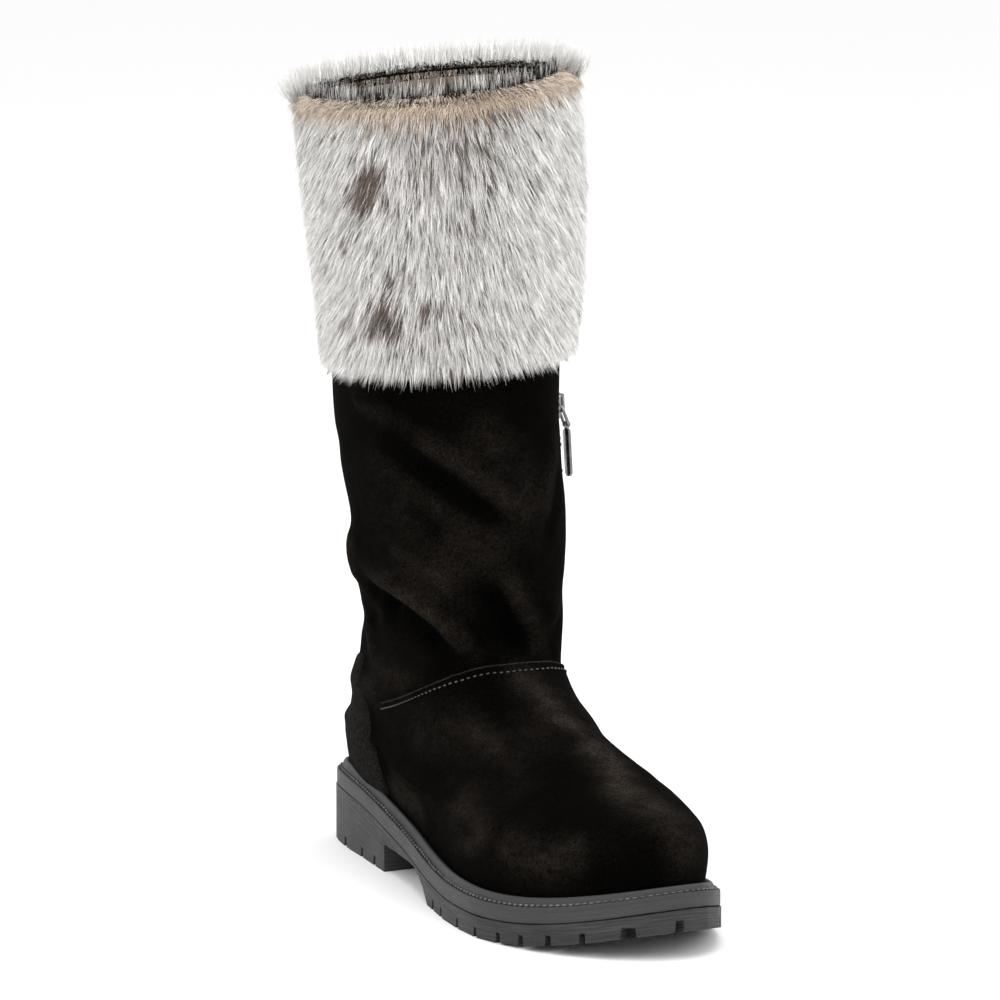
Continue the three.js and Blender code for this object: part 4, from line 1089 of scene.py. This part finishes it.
def addFur(materials):
    sample, cuff = sampleCuff()
    turn = turnOf(cuff)
    hemAt = byTurn(turn, cuff[:, 2], True)
    topAt = byTurn(turn, cuff[:, 2], False)

    def outerFace(middles, normals):
        return np.einsum("ij,ij->i", normals, outwardOf(middles)) > 0.35

    settings = furSet["coat"]
    lockSpots, lockOut = sample(settings["locks"], outerFace)
    lockJitter = rng.normal(0, 0.11, len(lockSpots))
    lockShade = rng.normal(0, 0.13, len(lockSpots))
    plain, spotted = coatTint(lockSpots)
    # Dark locks lie a little lower among the white ones: partly brown guard hairs, partly painted shade in the gaps
    # between locks
    lockDark = rng.random(len(lockSpots)) < 0.04 + 1.25 * plain
    lockSpot = rng.random(len(lockSpots)) < spotted
    lockTint = np.where(lockDark, 0.45 + 0.45 * rng.random(len(lockSpots)), 0.10 * rng.random(len(lockSpots)))
    lockTint = np.where(lockSpot, 0.6 + 0.4 * rng.random(len(lockSpots)), lockTint)
    lockLength = (0.85 + 0.35 * rng.random(len(lockSpots))) * np.where(lockDark, 0.85, 1)
    lockLift = np.where(lockDark & ~lockSpot, -0.10, 0)
    for piece in range(settings["pieces"]):
        spots, normals = sample(settings["hairs"], outerFace)
        lock = gathered(spots, lockSpots)
        out = outwardOf(spots)
        lie = flowOf(spots, lockJitter[lock] + rng.normal(0, 0.07, len(spots)))
        pull = (lockSpots[lock] - spots) * settings["gather"]
        pull -= out * np.einsum("ij,ij->i", pull, out)[:, None]
        lie = unit(lie * settings["length"] + pull)
        roots = spots - out * furSet["hide"] - lie * settings["length"] * 0.45
        scale = lockLength[lock]
        tipHeight = roots[:, 2] + lie[:, 2] * settings["length"] * scale
        short = hemAt(turnOf(spots)) + 2.5 - 5 * rng.random(len(spots)) ** 2 - tipHeight
        roots[:, 2] += np.maximum(0, short)
        roots[:, 2] = np.minimum(roots[:, 2], topAt(turnOf(spots)) - 1)
        base, _ = coatTint(roots)
        band = fadeIn(roots[:, 2] - topAt(turnOf(spots)), -9, -2)
        tint = np.clip(lockTint[lock] + rng.normal(0, 0.05, len(spots)), 0, 1)
        tint = np.where(rng.random(len(spots)) < 0.10, rng.random(len(spots)) * 0.5, tint)
        shade = np.clip(1 + lockShade[lock] + rng.normal(0, 0.10, len(spots)), 0.45, 1.3)
        lift = np.radians(settings["lift"]) + rng.normal(0, 0.08, len(spots)) + lockLift[lock]
        pieceSet = {**settings, "scale": scale}
        keep = band < rng.random(len(spots))
        pieceSet["scale"] = scale[keep]
        # Painted root shade: light on the pale sides of the coat, full where the coat is greyer
        pieceSet["rootAlong"] = (0.58 - 1.45 * np.clip(base, 0, 0.38))[keep]
        ribbonHairs(f"cuffCoat{piece + 1}", roots[keep], out[keep], lie[keep], pieceSet, tint[keep],
                    shade[keep], materials["coat"], lift[keep])

    # Tan fur on the rolled ridge, combed outwards
    settings = furSet["ridge"]

    def ridgeFace(middles, normals):
        high = middles[:, 2] - topAt(turnOf(middles))
        outer = np.einsum("ij,ij->i", normals, outwardOf(middles))
        return (high > -21) & (outer > -0.35)

    spots, normals = sample(settings["hairs"], ridgeFace)
    high = spots[:, 2] - topAt(turnOf(spots))
    keep = rng.random(len(spots)) < fadeIn(high, -18, -8)
    spots, normals, high = spots[keep], normals[keep], high[keep]
    out = outwardOf(spots)
    lie = flowOf(spots, rng.normal(0, 0.35, len(spots)))
    upness = fadeIn(high, -7, 0)[:, None]
    lie = unit(lie * (1 - 0.85 * upness) + (out * 0.45 + np.array([0, 0, 0.30])) * upness)
    surface = unit(normals + 0.3 * out)
    turned = np.degrees(turnOf(spots))
    backward_ = fadeIn(np.abs((turned - furSet["facing"] + 180) % 360 - 180), 95, 135)
    tint = np.clip(0.35 + rng.normal(0, 0.16, len(spots)) + 0.3 * np.exp(-((turned + 8) / 16) ** 2), 0, 1)
    tint = np.where(rng.random(len(spots)) < 0.12, 0.95, tint)
    tint = tint * (1 - backward_)
    shade = np.clip(rng.normal(1, 0.14, len(spots)), 0.5, 1.4)
    lift = np.radians(14) + rng.normal(0, 0.2, len(spots))
    ribbonHairs("cuffRidge", spots - surface * 2.6, surface, lie, settings, tint, shade, materials["ridge"],
                lift, droop=0.75)

    # Black and white hair that stands behind the ridge, on the side of the shin
    settings = furSet["streaks"]

    def innerEdge(middles, normals):
        outer = np.einsum("ij,ij->i", normals, outwardOf(middles))
        return (middles[:, 2] - topAt(turnOf(middles)) > -8) & (outer < 0.1)

    locks, _ = sample(settings["locks"], innerEdge)
    lockTint = (rng.random(len(locks)) < 0.52).astype(float)
    spots, normals = sample(settings["hairs"], innerEdge)
    lock = gathered(spots, locks)
    out = outwardOf(spots)
    turned = np.degrees(turnOf(spots))
    far = fadeIn(np.abs((turned - furSet["facing"] + 180) % 360 - 180), 80, 120)
    lie = unit(np.array([0, 0, 1.0]) - out * 0.10 + rng.normal(0, 0.10, (len(spots), 3)))
    tint = np.where(rng.random(len(spots)) < 0.85, lockTint[lock], rng.random(len(spots)))
    tint = np.maximum(tint, (rng.random(len(spots)) < far * 0.9).astype(float))
    settings = {**settings, "scale": 1 - 0.72 * far}
    pull = (locks[lock] - spots) * settings["gather"]
    lie = unit(lie * settings["length"] + pull)
    ribbonHairs("cuffStreaks", spots - np.array([0, 0, 2.0]), -out, lie, settings, tint,
                np.clip(rng.normal(1, 0.12, len(spots)), 0.6, 1.3), materials["streaks"],
                rng.normal(0, 0.08, len(spots)))

    # Pale fluff over the far rim, whiter and brighter than the coat there: partly pale fur, partly painted highlight
    settings = furSet["fluff"]

    def farRim(middles, normals):
        turned = np.degrees(turnOf(middles))
        far = np.abs((turned - furSet["facing"] + 180) % 360 - 180) > 84
        outer = np.einsum("ij,ij->i", normals, outwardOf(middles))
        return far & (middles[:, 2] - topAt(turnOf(middles)) > -9) & (outer > 0.05)

    spots, normals = sample(settings["hairs"], farRim)
    out = outwardOf(spots)
    lie = unit(np.array([0, 0, 1.0]) + out * 0.35 + rng.normal(0, 0.22, (len(spots), 3)))
    ribbonHairs("cuffFluff", spots - np.array([0, 0, 2.0]), out, lie, settings,
                np.clip(rng.normal(0, 0.08, len(spots)), 0, 1), np.clip(rng.normal(1.15, 0.1, len(spots)), 0.6, 1.3),
                materials["coat"], rng.normal(0.1, 0.1, len(spots)))

    # Black shearling on the inner lip
    settings = furSet["shearling"]

    def lipFace(middles, normals):
        return np.einsum("ij,ij->i", normals, outwardOf(middles)) < -0.3

    def lipOnly(middles, normals):
        inner = lipFace(middles, normals)
        return inner & (middles[:, 2] > 318)

    spots, normals = sample(settings["hairs"], lipOnly)
    lie = unit(rng.normal(0, 1, (len(spots), 3)) - outwardOf(spots) * 0.6 + np.array([0, 0, -0.3]))
    ribbonHairs("lipShearling", spots - normals * 0.8, normals, lie, settings, np.full(len(spots), 1.0),
                np.clip(rng.normal(1, 0.3, len(spots)), 0.4, 1.8), materials["shearling"],
                np.radians(35) + rng.normal(0, 0.35, len(spots)), -0.9)


def addHide(material, lining):
    # The hide under the hair: the frame's fur with its outer face drawn in
    bm = mergedCopy("fur_cuff")
    bm.normal_update()
    for vertex in bm.verts:
        place = np.array([vertex.co / mm])
        outer = Vector(outwardOf(place)[0])
        facing = vertex.normal.dot(outer)
        if facing > 0.2 and vertex.normal.length:
            vertex.co -= outer * (furSet["hide"] + 0.6) * mm
        if vertex.normal.z > 0.35:
            vertex.co.z -= 2.2 * mm
    mesh = toMesh(bm, "cuffHide")
    points = positions(mesh) / mm
    inner = np.einsum("ij,ij->i", vertexNormals(mesh), outwardOf(points)) < 0.15
    # Outer hide: darkened and drawn toward the root colour, painted shade deep in the coat; inner lip: the black
    # lining's own colour
    setValue(mesh, "tint", np.where(inner, 1, 0.1 + 1.8 * coatTint(points)[0]))
    setValue(mesh, "along", np.full(len(points), 0.35))
    setValue(mesh, "shade", np.where(inner, 0.12, 0.7))
    mesh.shade_smooth()
    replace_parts(newObject("cuffHide", mesh, material, "boot"), "fur_cuff")
    mesh.materials.append(lining)
    for face in mesh.polygons:
        outer = outwardOf(np.array([face.center / mm]))[0]
        if face.normal.dot(Vector(outer)) < 0.1 and face.center.z > 300 * mm:
            face.material_index = 1


# Build

addCamera()
addLights()
bm = bmesh.new()
bmesh.ops.create_grid(bm, x_segments=8, y_segments=8, size=60)
floor = newObject("floor", toMesh(bm, "floor"), floorMaterial(), None)
print("camera, lights and floor set")

napAndPaintedLight = napAndPaintedLightGroup()
rubber = rubberGroup()
deep, lit = (0.0014, 0.0012, 0.0010), (0.022, 0.0178, 0.0140)
# blackSuede reads the dressed upper's nap attribute, which carries painted crease highlight and shade
suede = suedeMaterial("blackSuede", napAndPaintedLight, deep, lit, "napAndPaintedLight")
panel = suedeMaterial("greySuede", napAndPaintedLight, (0.010, 0.0090, 0.0083), (0.024, 0.0215, 0.0195), "napAndPaintedLight", 0.8)
cutEdge = suedeMaterial("cutEdge", napAndPaintedLight, (0.014, 0.0125, 0.011), (0.03, 0.027, 0.024), 0.5)
lining = suedeMaterial("darkLining", napAndPaintedLight, (0.004, 0.004, 0.004), (0.02, 0.02, 0.02), 0.3, 0.8, 0.0012)
footbed = suedeMaterial("footbed", napAndPaintedLight, (0.02, 0.02, 0.02), (0.05, 0.05, 0.05), 0.3)
soleMaterials = {
    "rand": rubberMaterial("randRubber", rubber, (0.024, 0.024, 0.025), 0.1),
    "band": rubberMaterial("bandRubber", rubber, (0.030, 0.030, 0.030), 0.3),
    "lugs": rubberMaterial("soleRubber", rubber, (0.028, 0.028, 0.028), 1.0),
}
coatStops = [(0, (0.90, 0.895, 0.88)), (0.3, (0.52, 0.485, 0.445)), (0.6, (0.21, 0.165, 0.135)),
             (1, (0.055, 0.037, 0.028))]
# The colour after each fur material's ramp stops is its root colour: painted shade deep in the coat
furMaterials = {
    "coat": furMaterial("pelt", coatStops, (0.13, 0.095, 0.075)),
    "ridge": furMaterial("tanPelt", [(0, (0.95, 0.90, 0.82)), (0.4, (0.76, 0.635, 0.50)),
                                     (1, (0.28, 0.19, 0.14))], (0.46, 0.36, 0.27)),
    "streaks": furMaterial("streakedPelt", [(0, (0.85, 0.84, 0.82)), (0.5, (0.12, 0.11, 0.10)),
                                            (1, (0.004, 0.004, 0.004))], (0.03, 0.028, 0.026), 0.08, 0),
    "shearling": furMaterial("shearling", [(0, (0.015, 0.015, 0.015)), (1, (0.003, 0.003, 0.003))],
                             (0.002, 0.002, 0.002), 0.04, 0),
}
steel = steelMaterial()
tape = tapeMaterial()
upperThread = threadMaterial("upperThread", (0.035, 0.032, 0.028), (0.115, 0.105, 0.095))
weltThread = threadMaterial("weltThread", (0.08, 0.08, 0.08), (0.18, 0.18, 0.18))
print("materials made")

upperMesh = addUpper()
upperPiece = newObject("suedeUpper", upperMesh, suede, "boot")
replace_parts(upperPiece, "upper")
upperMesh.materials.append(lining)
insideOf = np.empty(len(upperMesh.vertices), dtype=np.float32)
upperMesh.attributes["inside"].data.foreach_get("value", insideOf)
for face in upperMesh.polygons:
    if all(insideOf[i] > 0.5 for i in face.vertices):
        face.material_index = 1
upperTree = treeOf(upperMesh)
panelPiece = newObject("heelPanel", addCounter(upperTree), panel, "boot")
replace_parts(panelPiece, "heel_counter")
print("upper dressed:", len(upperMesh.polygons), "faces")

addSole(soleMaterials)
print("sole dressed")

ankle = ankleLine()
addSeamEdge(ankle, upperTree, cutEdge)
addStitches("ankleStitches", ankle - np.array([0, 0, stitchSet["ankle"]["below"]]), stitchSet["ankle"],
            upperTree, upperThread)
rows = zipMiddle[(zipMiddle[:, 2] > 46) & (zipMiddle[:, 2] < 224)]
for name, shift in (("zipStitchesFront", -stitchSet["zip"]["ahead"]), ("zipStitchesRear", stitchSet["zip"]["behind"])):
    addStitches(name, rows + np.array([1.0, shift, 0]), stitchSet["zip"], upperTree, upperThread)
groove = weltLine()
groove = np.concatenate([groove, groove[:1]])
weltTree = treeOf(bpy.data.objects["weltRand"].data)
addStitches("weltStitches", groove, stitchSet["welt"], weltTree, weltThread, False)
print("stitches laid")

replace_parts(addTeeth(steel), "zip_chain")
bevelled("zip_slider", "zipSliderBody", 0.22, steel, "boot")
bevelled("zip_link", "pullLink", 0.2, steel, "zip_link")
bevelled("zip_pull", "pullTab", 0.2, steel, "zip_pull")
for node, material in (("zip_tape", tape), ("insole", footbed)):
    nodes[node].data.materials.clear()
    nodes[node].data.materials.append(material)
print("zip dressed")

addHide(furMaterials["coat"], furMaterials["shearling"])
addFur(furMaterials)
print("fur grown")
